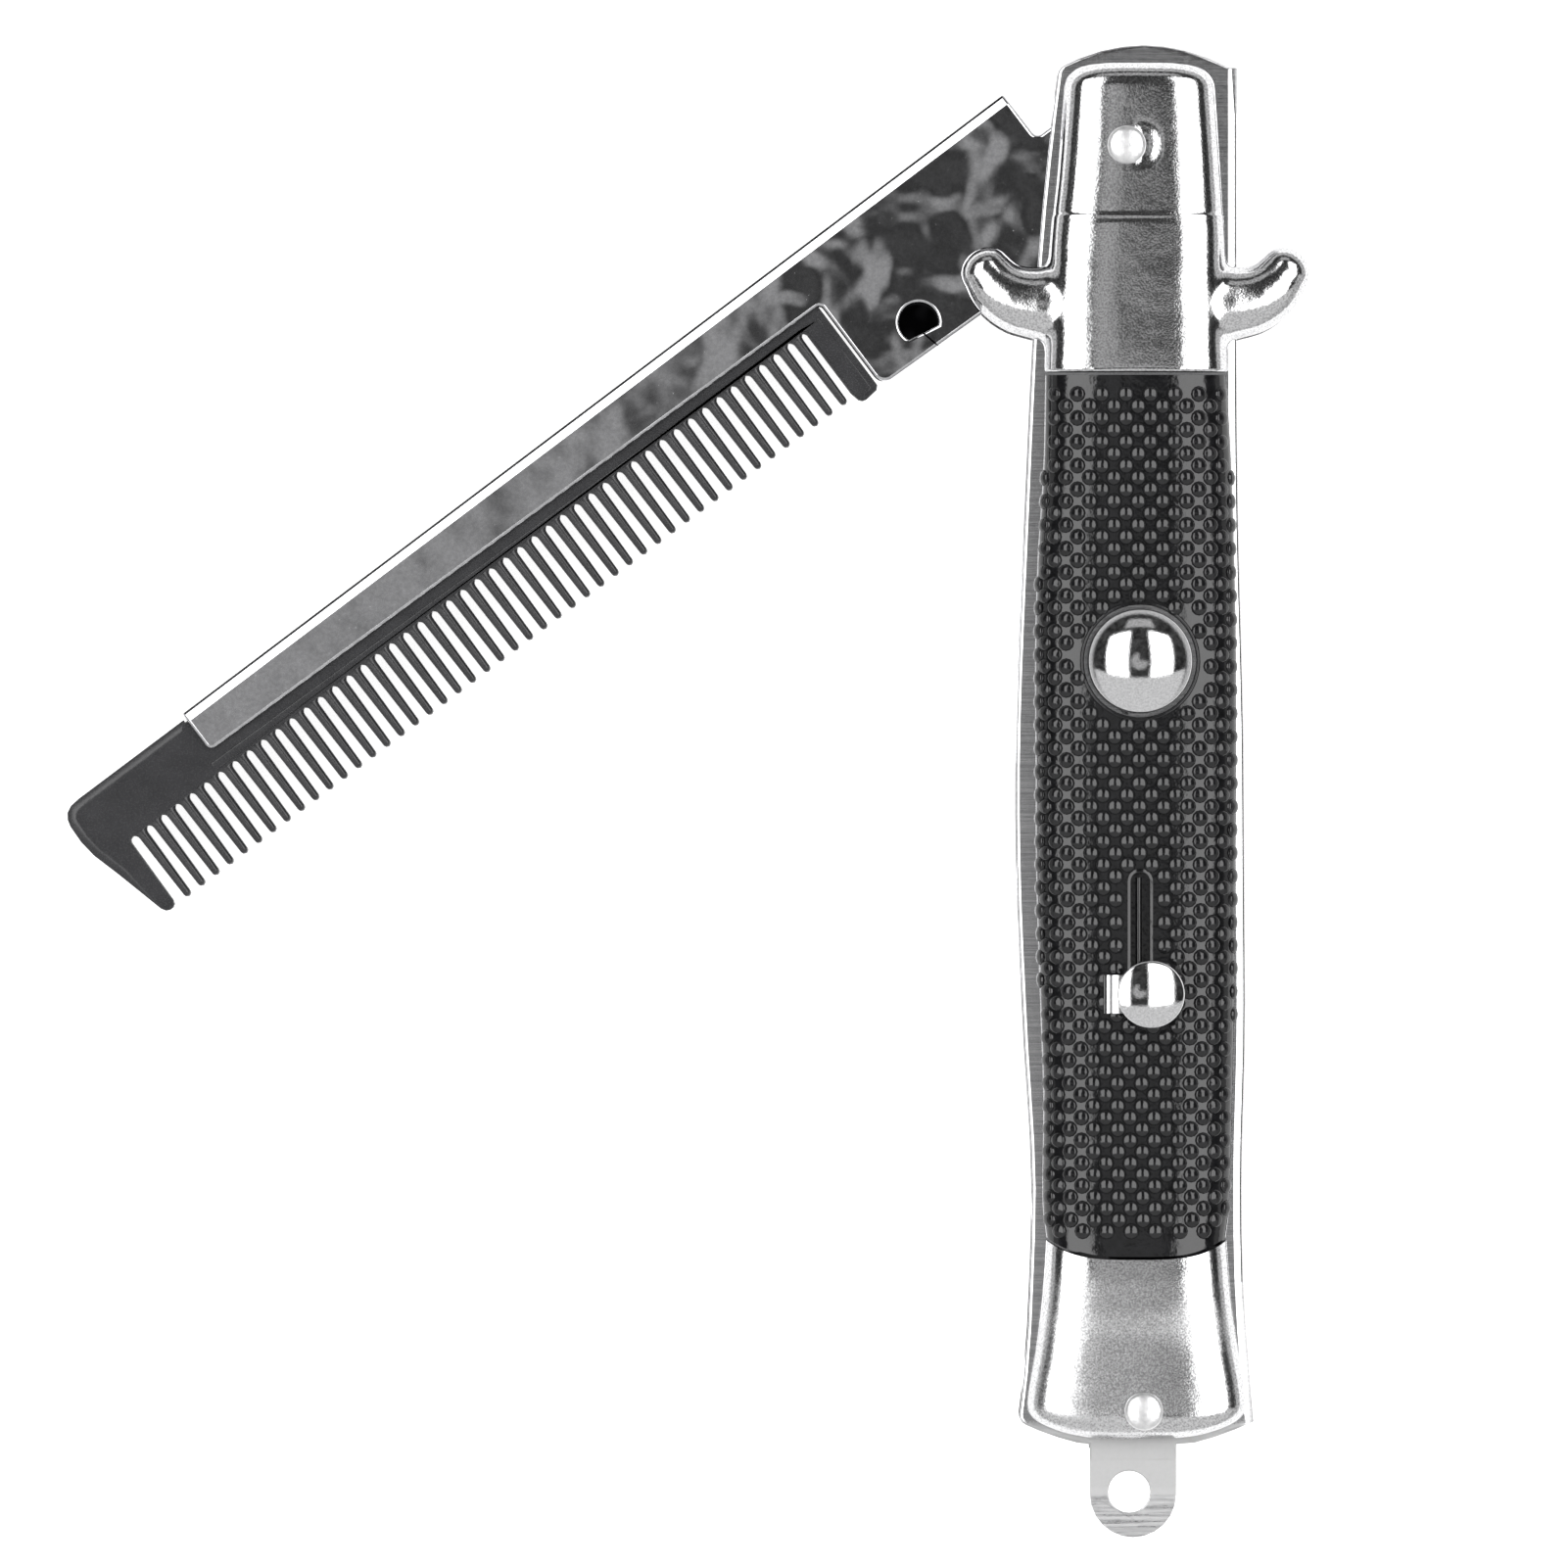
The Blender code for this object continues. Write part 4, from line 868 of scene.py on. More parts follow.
def nub_tree():
    """Rows of nubs dropped on a grip's surface, kept clear of the button and the slot."""
    tree, entry = node_group("rows_of_nubs", {
        "Rows": "Int", "Row pitch": "Float", "First row": "Float", "Row drift": "Vector",
        "Column pitch": "Float", "Rail": "Object", "Nub": "Object", "Button clearance": "Float",
        "Slot clearance": "Float", "Finish": "Material"})
    # the rows, drifting by the square of their number
    step = add(tree, "ShaderNodeMath", (entry["Row pitch"], -1.0), operation="MULTIPLY")
    rows = add(tree, "GeometryNodeMeshLine", {
        "Count": entry["Rows"],
        "Start Location": add(tree, "ShaderNodeCombineXYZ", {"Y": entry["First row"]}),
        "Offset": add(tree, "ShaderNodeCombineXYZ", {"Y": step})})
    index = add(tree, "GeometryNodeInputIndex")
    squared = add(tree, "ShaderNodeMath", (index, 2.0), operation="POWER")
    drift = add(tree, "ShaderNodeVectorMath", {
        0: entry["Row drift"], "Scale": squared}, operation="SCALE")
    drifted = add(tree, "GeometryNodeSetPosition", {"Geometry": rows, "Offset": drift})
    # the columns along the rail, one set on every row
    columns = add(tree, "GeometryNodeCurveToPoints", {
        "Curve": add(tree, "GeometryNodeObjectInfo", {"Object": entry["Rail"]}, "Geometry"),
        "Length": entry["Column pitch"]}, mode="LENGTH")
    numbered = [add(tree, "GeometryNodeStoreNamedAttribute", {
        "Geometry": line, "Name": name, "Value": index}, data_type="INT", domain="POINT")
        for line, name in ((drifted, "row"), (columns, "column"))]
    grid = add(tree, "GeometryNodeInstanceOnPoints", {"Points": numbered[0], "Instance": numbered[1]})
    points = add(tree, "GeometryNodeRealizeInstances", (grid,))
    total = add(tree, "ShaderNodeMath", [
        add(tree, "GeometryNodeInputNamedAttribute", {"Name": name}, "Attribute", data_type="INT")
        for name in ("row", "column")], operation="ADD")
    odd = add(tree, "ShaderNodeMath", (total, 2.0), operation="MODULO")
    # each place looks straight down for the surface; the bare edges and the steep flanks get none
    position = add(tree, "GeometryNodeInputPosition")
    x, y, z = add(tree, "ShaderNodeSeparateXYZ", (position,)).node.outputs
    hit = add(tree, "GeometryNodeRaycast", {
        "Target Geometry": entry["Geometry"],
        "Source Position": add(tree, "ShaderNodeCombineXYZ", (x, y, 30.0)),
        "Ray Direction": (0.0, 0.0, -1.0), "Ray Length": 60.0}).node.outputs
    missed = add(tree, "FunctionNodeBooleanMath", (hit["Is Hit"],), operation="NOT")
    upward = add(tree, "ShaderNodeSeparateXYZ", (hit["Hit Normal"],), "Z")
    steep = add(tree, "FunctionNodeCompare", (upward, NUB_STEEPEST), operation="LESS_THAN")
    # the button's round well
    reach = add(tree, "ShaderNodeVectorMath", (
        add(tree, "ShaderNodeCombineXYZ", (x, y)), (*BUTTON_AT, 0.0)), "Value", operation="DISTANCE")
    by_button = add(tree, "FunctionNodeCompare", (
        reach, entry["Button clearance"]), operation="LESS_THAN")
    # the slider's slot, where a clearance is asked for
    by_slot = add(tree, "FunctionNodeCompare", (entry["Slot clearance"], 0.0), operation="GREATER_THAN")
    for value, middle, limit in (
            (x, SLOT_X, entry["Slot clearance"]),
            (y, (SLOT_TOP_Y + SLOT_FOOT_Y) / 2, (SLOT_TOP_Y - SLOT_FOOT_Y) / 2 + 0.5)):
        beside = add(tree, "ShaderNodeMath", (value, middle), operation="SUBTRACT")
        distance = add(tree, "ShaderNodeMath", (beside,), operation="ABSOLUTE")
        near = add(tree, "FunctionNodeCompare", (distance, limit), operation="LESS_THAN")
        by_slot = add(tree, "FunctionNodeBooleanMath", (by_slot, near), operation="AND")
    unwanted = missed
    for reason in (steep, by_button, by_slot):
        unwanted = add(tree, "FunctionNodeBooleanMath", (unwanted, reason), operation="OR")
    for selection in (odd, unwanted):
        points = add(tree, "GeometryNodeDeleteGeometry", {"Geometry": points, "Selection": selection})
    seated = add(tree, "GeometryNodeSetPosition", {
        "Geometry": points, "Position": hit["Hit Position"]})
    nubs = add(tree, "GeometryNodeInstanceOnPoints", {
        "Points": seated,
        "Instance": add(tree, "GeometryNodeObjectInfo", {"Object": entry["Nub"]}, "Geometry"),
        "Rotation": add(tree, "FunctionNodeAlignRotationToVector", {
            "Vector": hit["Hit Normal"]}, axis="Z")})
    end_group(tree, entry, nubs)
    return tree


def stud(grip, tree, rail, nub, material, button_clearance, slot_clearance):
    """Puts the rows of nubs on a grip."""
    run_group(grip, tree, {
        "Rows": NUB_ROWS, "Row pitch": NUB_ROW_PITCH, "First row": NUB_FIRST_Y,
        "Row drift": (*NUB_CLOSING, 0.0), "Column pitch": NUB_HALF_PITCH, "Rail": rail, "Nub": nub,
        "Button clearance": button_clearance, "Slot clearance": slot_clearance, "Finish": material,
    })


def stadium(width, points=13):
    """The slot's outline, grown to a width."""
    half = width / 2
    return [(SLOT_X + half * math.cos(angle), end_y + half * math.sin(angle))
            for start, end_y in ((0.0, SLOT_TOP_Y - SLOT_END_INSET), (math.pi, SLOT_FOOT_Y + SLOT_END_INSET))
            for angle in spaced(start, start + math.pi, points)]


def tube_along(name, outline, height_at, radius):
    """A round bead that follows a closed outline."""
    mesh = curve_mesh(name, [(x, y, height_at(x, y)) for x, y in outline], closed=True,
                      dimensions="3D", bevel_depth=radius, bevel_resolution=4)
    weld(mesh)
    return new_object(name, mesh)


def scale_height(x, y):
    """Height of the grip's surface over a point of the plan."""
    left, right = smooth_between(SCALE, y)
    side = min(abs(x - (left + right) / 2) / ((right - left) / 2), 1.0)
    return SEAT + SCALE_HEIGHT * (1 - side ** GRIP_FULLNESS) ** (1 / GRIP_FULLNESS)


def slot_rim():
    """A low swelling round the slot, closed under the grip's surface."""
    work = bmesh.new()
    rows = [[work.verts.new((x, y, scale_height(x, y) + rise)) for x, y in stadium(width)]
            for width, rise in SLOT_LIPS]
    for row, following in zip(rows, rows[1:] + rows[:1]):
        for index in range(len(row)):
            after = (index + 1) % len(row)
            work.faces.new((row[index], row[after], following[after], following[index]))
    bmesh.ops.recalc_face_normals(work, faces=work.faces)
    return from_bmesh("slot_rim", work)


def circle(centre, radius, count):
    """A round outline."""
    return [(centre[0] + radius * math.cos(turn), centre[1] + radius * math.sin(turn))
            for turn in spaced(0.0, 2 * math.pi * (count - 1) / count, count)]


def grips(material):
    """Both grips: the front with its well, slot, collar and rim, the back plain."""
    plain = domed_bar("front_grip", SCALE, SCALE_HEIGHT, (0.0, SEAM_ARCH), (0.0, 0.0),
                      GRIP_FULLNESS, points=49)
    tree, rail, nub = nub_tree(), nub_rail(), nub_shape()
    # the back is studded face up, then turned over with its nubs
    face_up = new_object("back_grip_face_up", plain.data.copy())
    stud(face_up, tree, rail, nub, material, 0.0, 0.0)
    back = mirrored(face_up, "back_grip")
    drop(face_up)
    well = solid_outline("well", circle(BUTTON_AT, WELL_RADIUS, 64), 0.0, 20.0)
    combine(plain, well, "DIFFERENCE")
    slot = solid_outline("slot", stadium(SLOT_WIDTH), SLOT_FLOOR_Z, 20.0)
    combine(plain, slot, "DIFFERENCE")
    stud(plain, tree, rail, nub, material, NUB_BUTTON_CLEARANCE, NUB_SLOT_CLEARANCE)
    collar = tube_along("collar", circle(BUTTON_AT, COLLAR_RADIUS, 72),
                        lambda x, y: scale_height(x, y) - COLLAR_SINK, COLLAR_BEAD)
    rim = slot_rim()
    rib_x = SLOT_X + RIB_SHIFT
    rib = tube_along("rib", [(rib_x, SLOT_TOP_Y - 0.5), (rib_x, SLOT_FOOT_Y + 0.5)],
                     lambda x, y: SLOT_FLOOR_Z, RIB_RADIUS)
    front = merged("front_grip", plain, collar, rib, rim)
    drop(rail, nub)
    finish(front, material, "handle", "front_scale", sharp=50)
    finish(back, material, "handle", "back_scale", sharp=50)


# Rivets, button and slider

def rivet(name, at, seat_z):
    """A shank with a low domed head at both ends."""
    half = [(RIVET_HEAD * math.sin(angle), seat_z + 0.32 + RIVET_CROWN * math.cos(angle))
            for angle in spaced(0.0, 1.45, 12)]
    half += [(RIVET_HEAD, seat_z), (RIVET_SHANK, seat_z - 0.1)]
    lower = [(radius, -z) for radius, z in reversed(half)]
    return turned(name, at, half + lower, sides=48)


def shallow_cap(radius, rise, fullness, reach, top_z, edge, count=26):
    """The middle of a wide dome out to a reach, then a tight roll down to upright."""
    profile = []
    for out in spaced(0.0, reach, count):
        profile.append((out, top_z - rise * (1 - (1 - (out / radius) ** fullness) ** (1 / fullness))))
    (before, z_before), (last, z_last) = profile[-2:]
    lean = math.atan2(z_before - z_last, last - before)
    for angle in spaced(lean, math.pi / 2, 7)[1:]:
        profile.append((last + edge * (math.sin(angle) - math.sin(lean)),
                        z_last - edge * (math.cos(lean) - math.cos(angle))))
    return profile


def button():
    """The domed button with the stub under it."""
    return turned("domed_button", BUTTON_AT, [*shallow_cap(*BUTTON_CAP), *BUTTON_BODY], sides=96)


def slider():
    """Round knob and pressed tab in one piece, with its stub in the slot."""
    knob = turned("knob", SLIDER_KNOB, [*shallow_cap(*KNOB_CAP), *KNOB_UNDERSIDE], sides=72)
    x, y = SLIDER_KNOB
    for vertex in knob.data.vertices:
        if vertex.co.z > KNOB_LEAN_FROM:
            vertex.co.z -= SLIDER_LEAN[0] * (vertex.co.x - x) + SLIDER_LEAN[1] * (vertex.co.y - y)
    tab = solid_outline("tab", TAB_SECTION, -TAB_HALF, TAB_HALF)
    tab.data.transform(Matrix.Translation((0.0, y, 0.0)) @ Matrix.Rotation(math.pi / 2, 4, "X"))
    half_x, half_y = STEM_HALF
    stem = solid_outline("stem", [
        (SLOT_X - half_x, y - half_y), (SLOT_X + half_x, y - half_y),
        (SLOT_X + half_x, y + half_y), (SLOT_X - half_x, y + half_y)], *STEM_Z)
    combine(knob, tab, "UNION")
    combine(knob, stem, "UNION")
    return knob


# Comb

def comb_point(s, t):
    """From the comb's own directions to the plan round the hinge."""
    place = ALONG * (s - COMB_HINGE_S) + ACROSS * (t - COMB_HINGE_T)
    return (place.x, place.y)


def comb_place(point):
    """How far a point lies along the comb's back, and from the back towards the teeth."""
    offset = point.xy - Vector(comb_point(0.0, 0.0))
    return offset.dot(ALONG), offset.dot(ACROSS)


def comb_solid(name, points, low, high):
    """An outline of the comb's (s, t) points, as thick as from low to high."""
    return solid_outline(name, [comb_point(s, t) for s, t in points], low, high)


def rounded_corner(before, corner, after, radius, count=7):
    """Points of a fillet that replaces a corner."""
    corner = Vector(corner)
    into = (Vector(before) - corner).normalized()
    out = (Vector(after) - corner).normalized()
    half = into.angle(out) / 2
    centre = corner + (into + out).normalized() * (radius / math.sin(half))
    first = corner + into * (radius / math.tan(half)) - centre
    last = corner + out * (radius / math.tan(half)) - centre
    return [tuple(centre + first.lerp(last, share).normalized() * radius)
            for share in spaced(0.0, 1.0, count)]


def comb_sheet():
    """The folded steel sheet: tang, heel and the bar that clasps the insert."""
    near_t, root_t = TANG_T
    corner = (0.0, near_t)
    root = (TANG_ROOT_S, root_t)
    heel = (HEEL_END_S, HEEL_T)
    inner = (HEEL_END_S, BAR_ROOT_T)
    end = (BAR_END_S, BAR_END_T)
    outline = [(0.0, 0.0), *rounded_corner((0.0, 0.0), corner, (COMB_HINGE_S, near_t), TANG_CORNER)]
    for angle in spaced(-math.pi / 2, math.pi / 2, 17):
        outline.append((COMB_HINGE_S - TANG_REACH * math.cos(angle),
                        (near_t + root_t) / 2 + (root_t - near_t) / 2 * math.sin(angle)))
    outline.append(root)
    outline += rounded_corner(root, heel, inner, HEEL_CORNER)
    outline += rounded_corner(heel, inner, end, NECK_CORNER, 4)
    outline += rounded_corner(inner, end, (BAR_END_S, 0.0), BAR_CORNER)
    outline.append((BAR_END_S, 0.0))
    sheet = comb_solid("steel_comb_back", outline, -COMB_HALF, COMB_HALF)
    slope_back(sheet)
    # the catch hole is round with one flat side, and stops at the sheet of the back face
    inside = COMB_HALF - SHEET_THICKNESS
    flat_angle = math.acos(CATCH_FLAT / CATCH_RADIUS)
    catch = [(CATCH_HOLE[0] + CATCH_RADIUS * math.sin(angle + CATCH_TURN),
              CATCH_HOLE[1] + CATCH_RADIUS * math.cos(angle + CATCH_TURN))
             for angle in spaced(flat_angle, 2 * math.pi - flat_angle, 33)]
    combine(sheet, comb_solid("hole", catch, -inside, 9.0), "DIFFERENCE")

    def weight(first, second):
        corner_edge = abs(first.z - second.z) > 0.2 or min(abs(first.z), abs(second.z)) < inside + 0.05
        return 0.0 if corner_edge or on_strip(first, second) else 1.0

    weighted_bevel(sheet, SHEET_ROUNDING, 4, weight)
    slot = comb_solid("slot", [
        (HEEL_END_S - 0.3, 0.45), (HEEL_END_S - 0.3, 30.0), (BAR_END_S + 30, 30.0), (BAR_END_S + 30, 0.45),
    ], -inside, inside)
    combine(sheet, slot, "DIFFERENCE")
    combine(sheet, comb_solid("seam", SEAM_CUT, inside - 0.02, 9.0), "DIFFERENCE")
    return sheet


def slope_back(sheet):
    """Planes the strip along the fold, on both faces, that mirrors the light as one white line."""
    work = bmesh.new()
    work.from_mesh(sheet.data)
    outward = Vector((*comb_point(0.0, -1.0), 0.0)) - Vector((*comb_point(0.0, 0.0), 0.0))
    for side in (1.0, -1.0):
        edge_z = COMB_HALF - math.tan(STRIP_TILT) * (STRIP_WIDTH - LIP_WIDTH)
        for tilt, inset, level in ((STRIP_TILT, STRIP_WIDTH, COMB_HALF), (LIP_TILT, LIP_WIDTH, edge_z)):
            normal = outward * math.sin(tilt) + Vector((0.0, 0.0, side * math.cos(tilt)))
            trim(work, (*comb_point(0.0, inset), side * level), normal, 0.0001, clear_outer=True)
    bmesh.ops.recalc_face_normals(work, faces=work.faces)
    work.to_mesh(sheet.data)
    work.free()


def on_strip(first, second):
    """Whether an edge is a border of the strip or of the narrow lip outside it."""
    reaches = [comb_place(end)[1] for end in (first, second)]
    return any(all(abs(reach - border) < 0.05 for reach in reaches)
               for border in (STRIP_WIDTH, LIP_WIDTH, 0.0))


def round_flat(first, second):
    """Whether an edge bounds a flat face of the comb sheet or its folded strip."""
    level = all(abs(abs(point.z) - COMB_HALF) < 0.001 for point in (first, second))
    return level or on_strip(first, second)


def closest_on(point, start, end):
    """The nearest place to a point on a straight line between two ends."""
    line = end - start
    share = (point - start).dot(line) / line.length_squared
    return start + line * min(max(share, 0.0), 1.0)


def tooth_shape():
    """One tooth standing along +Y from its root, crowned on one side as it left the mould."""
    rings = []
    for share in TOOTH_STATIONS:
        flare = TOOTH_FLARE * max(0.0, 1 - share / FLARE_END) ** 2
        half = TOOTH_HALF - TOOTH_TAPER * share + flare
        depth = TOOTH_DEPTH
        if share > TIP_START:
            tip = math.sqrt(max(1 - ((share - TIP_START) / (1 - TIP_START)) ** 2, 0.0))
            half *= 0.15 + 0.85 * tip
            depth *= 0.6 + 0.4 * tip
        ring = [(side * half, share * TOOTH_LENGTH, rise * depth) for side, rise in TOOTH_SECTION]
        lower = [(x, y, -z) for x, y, z in reversed(ring[1:-1])]
        rings.append(ring + lower)
    made = loft("tooth", rings)
    weld(made.data)
    return made


def teeth_tree():
    """A straight row of teeth that shorten evenly along the comb."""
    tree, entry = node_group("row_of_teeth", {
        "Count": "Int", "First": "Vector", "Pitch": "Vector", "Turn": "Float",
        "Last length": "Float", "Tooth": "Object", "Finish": "Material"})
    line = add(tree, "GeometryNodeMeshLine", {
        "Count": entry["Count"], "Start Location": entry["First"], "Offset": entry["Pitch"]})
    index = add(tree, "GeometryNodeInputIndex")
    length = add(tree, "ShaderNodeMapRange", (
        index, 0.0, TOOTH_COUNT - 1.0, 1.0, entry["Last length"]))
    row = add(tree, "GeometryNodeInstanceOnPoints", {
        "Points": line,
        "Instance": add(tree, "GeometryNodeObjectInfo", {"Object": entry["Tooth"]}, "Geometry"),
        "Rotation": add(tree, "ShaderNodeCombineXYZ", {"Z": entry["Turn"]}),
        "Scale": add(tree, "ShaderNodeCombineXYZ", (1.0, length, 1.0))})
    end_group(tree, entry, row)
    return tree


def toothed_insert(material):
    """The moulded insert: a spine held by the sheet, its thin teeth and the nose."""
    outline = [*INSERT_START, *NOSE_RIM[:0:-1], *INSERT_END]
    spine = comb_solid("grey_insert", outline, -INSERT_HALF, INSERT_HALF)

    def roundness(first, second):
        """The nose's back and front are rounded wide, its other edges barely."""
        if abs(first.z - second.z) > 0.5:
            return 0.0
        wide = all(s > BAR_END_S + 0.2 and t < 8.0 and (t < 1.5 or s > 100.5)
                   for s, t in (comb_place(first), comb_place(second)))
        return 1.0 if wide else NARROW_EDGE

    weighted_bevel(spine, NOSE_SLOPE, 5, roundness, clamp=False)
    rim = [Vector(comb_point(*point)) for point in NOSE_RIM]
    for vertex in spine.data.vertices:
        if comb_place(vertex.co)[0] > BAR_END_S + 0.1 and abs(vertex.co.z) > 0.15:
            gap = min((vertex.co.xy - closest_on(vertex.co.xy, *ends)).length for ends in zip(rim, rim[1:]))
            if gap < NOSE_SLOPE:
                fall = NOSE_DROP * (1 - gap / NOSE_SLOPE) ** NOSE_FALL
                vertex.co.z = math.copysign(INSERT_HALF - fall, vertex.co.z)
    ledge = comb_solid("ledge", LEDGE, -INSERT_HALF - LEDGE_RISE, INSERT_HALF + LEDGE_RISE)
    weighted_bevel(ledge, LEDGE_RISE, 2, lambda first, second: float(abs(first.z - second.z) <= 0.5))
    insert = merged("grey_insert", spine, ledge)
    tooth = tooth_shape()
    s, t = FIRST_TOOTH
    first = comb_point(s, t)
    second = comb_point(s + TOOTH_PITCH, t - ROOT_LINE_FALL / (TOOTH_COUNT - 1))
    run_group(insert, teeth_tree(), {
        "Count": TOOTH_COUNT, "First": (*first, 0.0),
        "Pitch": (second[0] - first[0], second[1] - first[1], 0.0), "Turn": COMB_ANGLE,
        "Last length": LAST_TOOTH_LENGTH / TOOTH_LENGTH, "Tooth": tooth, "Finish": material,
    })
    drop(tooth)
    return insert


# Studio

def white_studio():
    """The lights as a world: two tall soft boxes, a pale card at the foot and a pale horizon."""
    world = bpy.data.worlds.new("white_studio")
    world.use_nodes = True
    tree = world.node_tree
    tree.nodes.clear()
    direction = add(tree, "ShaderNodeTexCoord", output="Generated")
    x, y, z = add(tree, "ShaderNodeSeparateXYZ", (direction,)).node.outputs
    across, along = (
        folded(tree, "MULTIPLY", add(tree, "ShaderNodeMath", (side, z), operation="ARCTAN2"), 180 / math.pi)
        for side in (x, y))
    wide = add(tree, "ShaderNodeMath", (across,), operation="ABSOLUTE")

    def light(strength, *edges):
        """A light with soft edges, each (value, from, to, share before, share after)."""
        shares = [add(tree, "ShaderNodeMapRange", edge, interpolation_type="SMOOTHSTEP") for edge in edges]
        return folded(tree, "MULTIPLY", *shares, strength)

    boxes = light(
        3.8, (wide, 10.5, 17.0, 0.0, 1.0), (wide, 41.0, 47.0, 1.0, 0.0),
        (along, -22.0, -17.5, 0.0, 1.0), (along, 36.0, 42.0, 1.0, 0.0))
    foot_card = light(0.74, (along, -21.0, -17.0, 1.0, 0.0), (wide, 62.0, 70.0, 1.0, 0.0))
    head_strip = light(
        0.5, (along, 43.5, 47.0, 0.0, 1.0), (along, 57.0, 62.0, 1.0, 0.0), (wide, 22.0, 28.0, 1.0, 0.0))
    horizon = light(0.60, (z, 0.30, 0.42, 1.0, 0.0))
    # what stands round the lens: dark above the handle, paler past the comb's nose and the handle's foot
    left_glow = light(0.46, (x, -0.024, 0.012, 1.0, 0.0))
    foot_glow = light(0.46, (y, -0.005, 0.026, 1.0, 0.0))
    glow = light(folded(tree, "MAXIMUM", left_glow, foot_glow), (z, 0.982, 0.992, 0.0, 1.0))
    cloud = add(tree, "ShaderNodeTexNoise", {"Vector": direction, "Scale": 9.0, "Detail": 3.0})
    haze = add(tree, "ShaderNodeMapRange", (cloud, 0.38, 0.68, 0.02, 0.09))
    radiance = folded(tree, "MAXIMUM", boxes, foot_card, head_strip, horizon, glow, haze)
    seen = add(tree, "ShaderNodeLightPath", output="Is Camera Ray")
    background = add(tree, "ShaderNodeBackground", {
        "Color": linear("#FBFBFB"),
        "Strength": add(tree, "ShaderNodeMix", {
            "Factor": seen, "A": radiance, "B": 1.0}, "Result", data_type="FLOAT")})
    add(tree, "ShaderNodeOutputWorld", {"Surface": background})
    world.cycles.sampling_method = "MANUAL"
    world.cycles.sample_map_resolution = 1024
    return world


def studio():
    """The white studio with its paper floor and the camera over the comb."""
    scene = bpy.context.scene
    scene.world = white_studio()

    mesh = bpy.data.meshes.new("floor")
    mesh.from_pydata([(-2, -2, 0), (2, -2, 0), (2, 2, 0), (-2, 2, 0)], [], [(0, 1, 2, 3)])
    floor = new_object("floor", mesh)
    sweep, tree = new_material("white_paper_sweep")
    fibre = add(tree, "ShaderNodeTexNoise", {"Vector": metre_to_mm(tree), "Scale": 0.05, "Detail": 2.0})
    surface(tree, {
        "Base Color": add(tree, "ShaderNodeValToRGB", (fibre,), stops=((0.0, "#C4C4C4"), (1.0, "#CACACA"))),
        "Roughness": 0.9,
        "Specular IOR Level": 0.2,
        "Emission Color": linear("#FFFFFF"),
        "Emission Strength": 0.80,
    })
    mesh.materials.append(sweep)

    lens = bpy.data.cameras.new("camera")
    lens.sensor_width = 36.0
    lens.lens = FOCAL_LENGTH
    lens.clip_end = 10.0
    camera = bpy.data.objects.new("camera", lens)
    camera.location = HINGE + Vector(LENS_FROM_HINGE) * MM
    scene.collection.objects.link(camera)
    scene.camera = camera
    scene.view_settings.view_transform = "Standard"
    scene.view_settings.look = "None"


# Making

def rolled_channel():
    """The model's folded sheet in millimetres, its edges rolled wider and flatter."""
    mesh = NODES["channel"].data.copy()
    channel = new_object("folded_channel", mesh)
    mesh.transform(Matrix.Scale(1 / MM, 4) @ Matrix.Translation(-HINGE))
    weld(mesh)
    for vertex in mesh.vertices:
        face = abs(vertex.co.z)
        side = math.copysign(1.0, vertex.co.z)
        on_right = vertex.co.x > SPINE_X and vertex.co.y < SPINE_NOTCH_Y
        for low, high, shift, level in RIGHT_FOLDS if on_right else (LEFT_FOLD,):
            if low < face < high:
                vertex.co.x += shift
                vertex.co.z = side * level
        if not on_right and face > PLATE_FACE and vertex.co.x < OPEN_SIDE_X:
            vertex.co.x += LEFT_FACE_SHIFT
    weighted_bevel(channel, TAB_HOLE_ROUNDING, 2, round_tab_hole)
    return channel


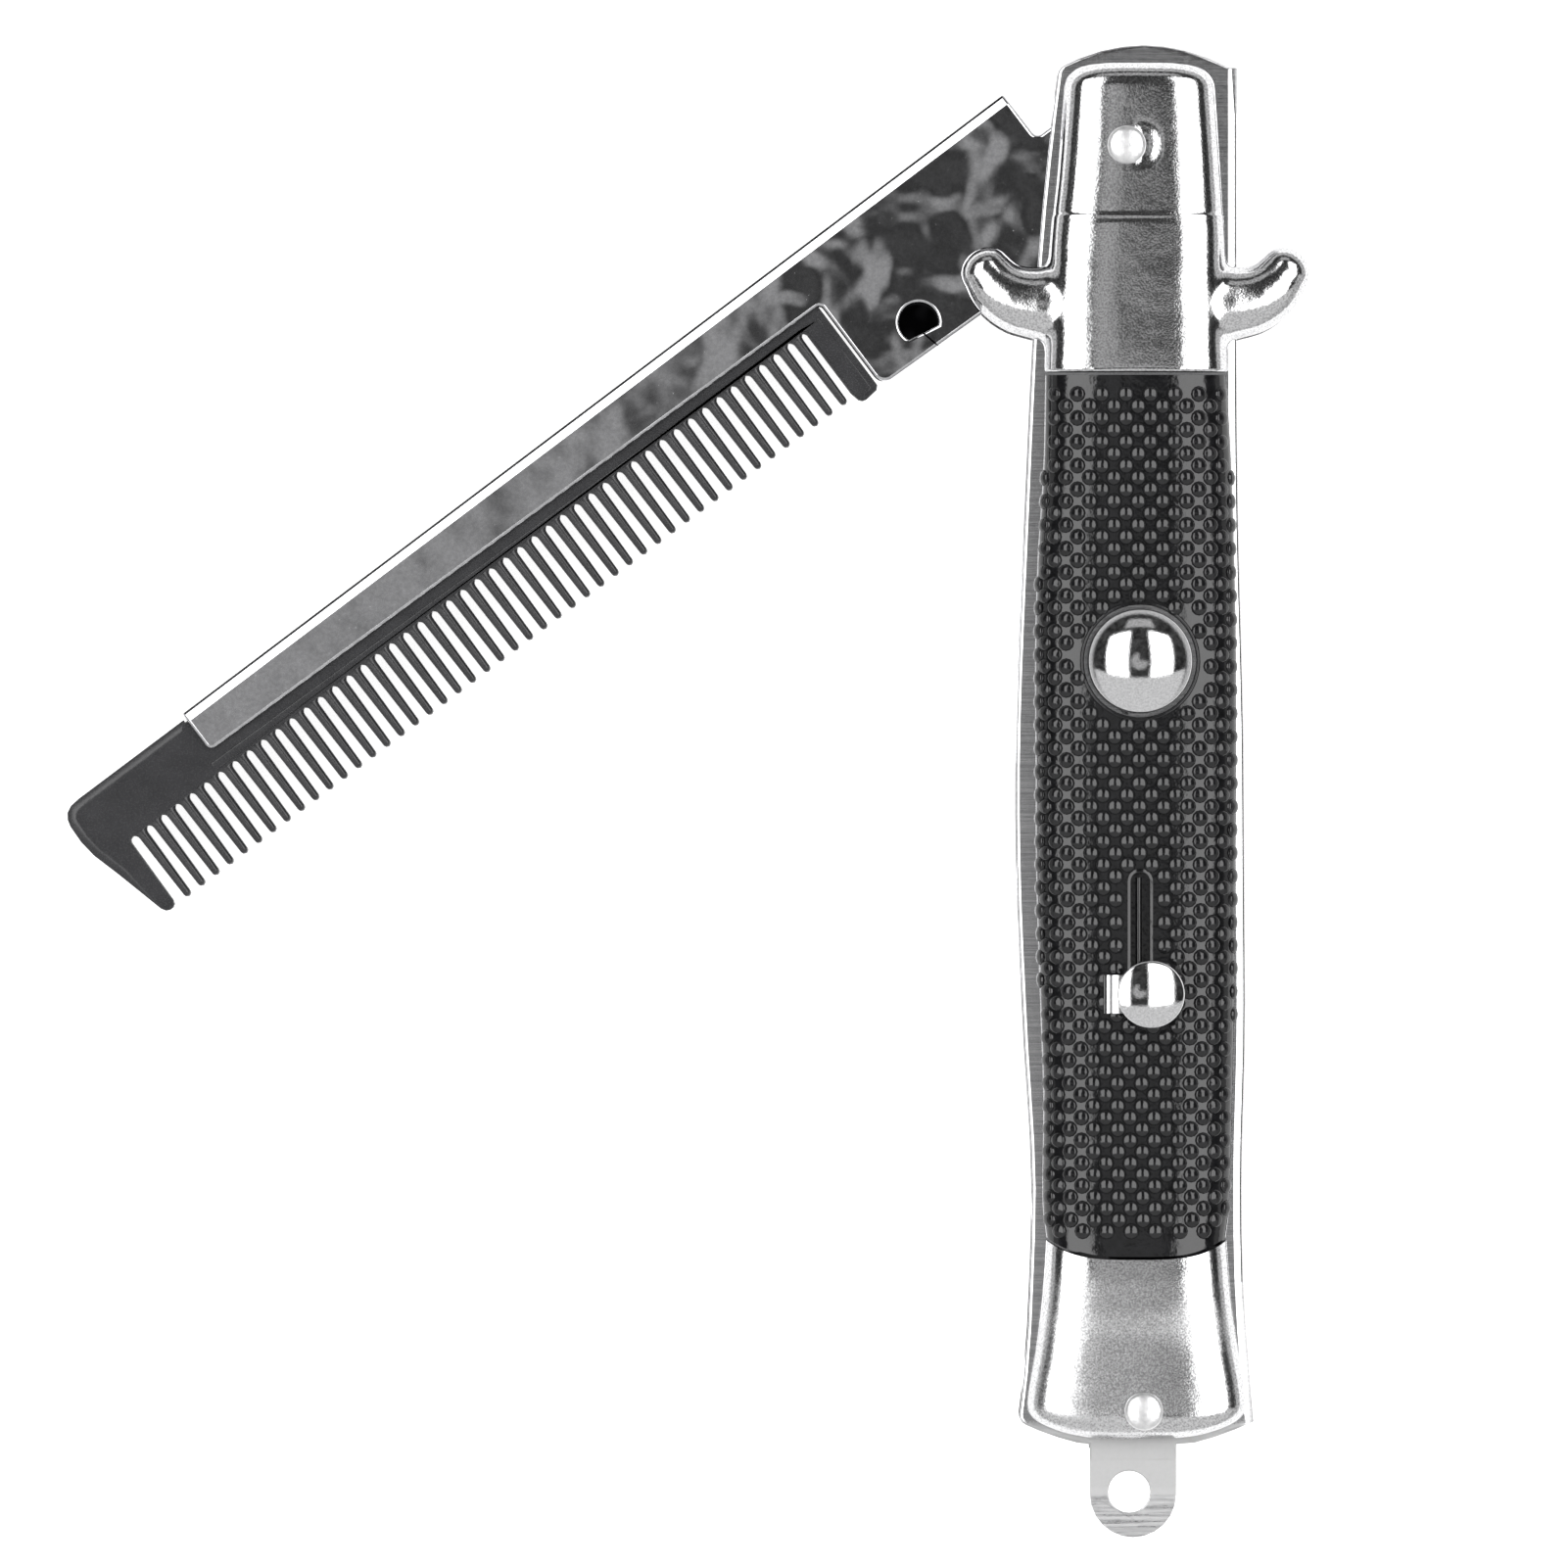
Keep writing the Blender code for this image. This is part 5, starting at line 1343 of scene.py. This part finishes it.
def round_tab_hole(first, second):
    """The tab's hole is broken at its rims."""
    level = abs(first.z - second.z) < 0.05
    near = all(math.dist(end.xy, TAB_HOLE) < TAB_HOLE_RADIUS + 0.05 for end in (first, second))
    return float(level and near)


def on_roll(first, second):
    """Whether an edge borders the rolled edge of a plate."""
    heights = (abs(first.z), abs(second.z))
    below_face = max(heights) < PLATE_FACE
    lengthwise = abs(first.x - second.x) < 0.6 * abs(first.y - second.y)
    return min(heights) > ROLL_LEVEL and min(first.x, second.x) > -20.0 and (below_face or lengthwise)


def finish_caps(front, material, node, sharp):
    """Hands over a cap of the front and its mirror image on the back."""
    back = mirrored(front, front.name.replace("front", "back"))
    finish(front, material, "handle", "front_" + node, sharp)
    finish(back, material, "handle", "back_" + node, sharp)


def main():
    cast_plate = pitted_plate()
    turned_plate = smooth_plate()
    steel = brushed_steel()
    sheet_steel = polished_sheet()
    black = black_grip()
    grey = grey_moulding()
    aluminium = soft_aluminium()

    finish(rolled_channel(), steel, "handle", "channel", flat_faces=True, crisp=on_roll)
    finish_caps(top_bolster(), cast_plate, "top_bolster", sharp=60)
    finish_caps(domed_bar(
        "front_foot_cap", BOTTOM_BOLSTER, BOLSTER_HEIGHT, (SEAM_ARCH, FOOT_ARCH),
        (0.0, FOOT_ROUNDING), FOOT_FULLNESS, points=61, pitch=0.5), cast_plate, "bottom_bolster", sharp=50)
    grips(black)
    top_rivet = rivet("hinge_rivet", (0.0, 0.0), SEAT + BOLSTER_HEIGHT - CREASE_STEP)
    finish(top_rivet, aluminium, "handle", "pivot_rivet")
    foot_rivet = rivet("foot_rivet", BOTTOM_RIVET, SEAT + BOLSTER_HEIGHT)
    finish(foot_rivet, aluminium, "handle", "bottom_rivet")
    finish(button(), turned_plate, "button", "release_button")
    finish(slider(), turned_plate, "slider", "safety_slider")
    finish(comb_sheet(), sheet_steel, "comb", "comb_back", flat_faces=True, crisp=round_flat)
    finish(toothed_insert(grey), grey, "comb", "comb_teeth", flat_faces=True)
    studio()


main()
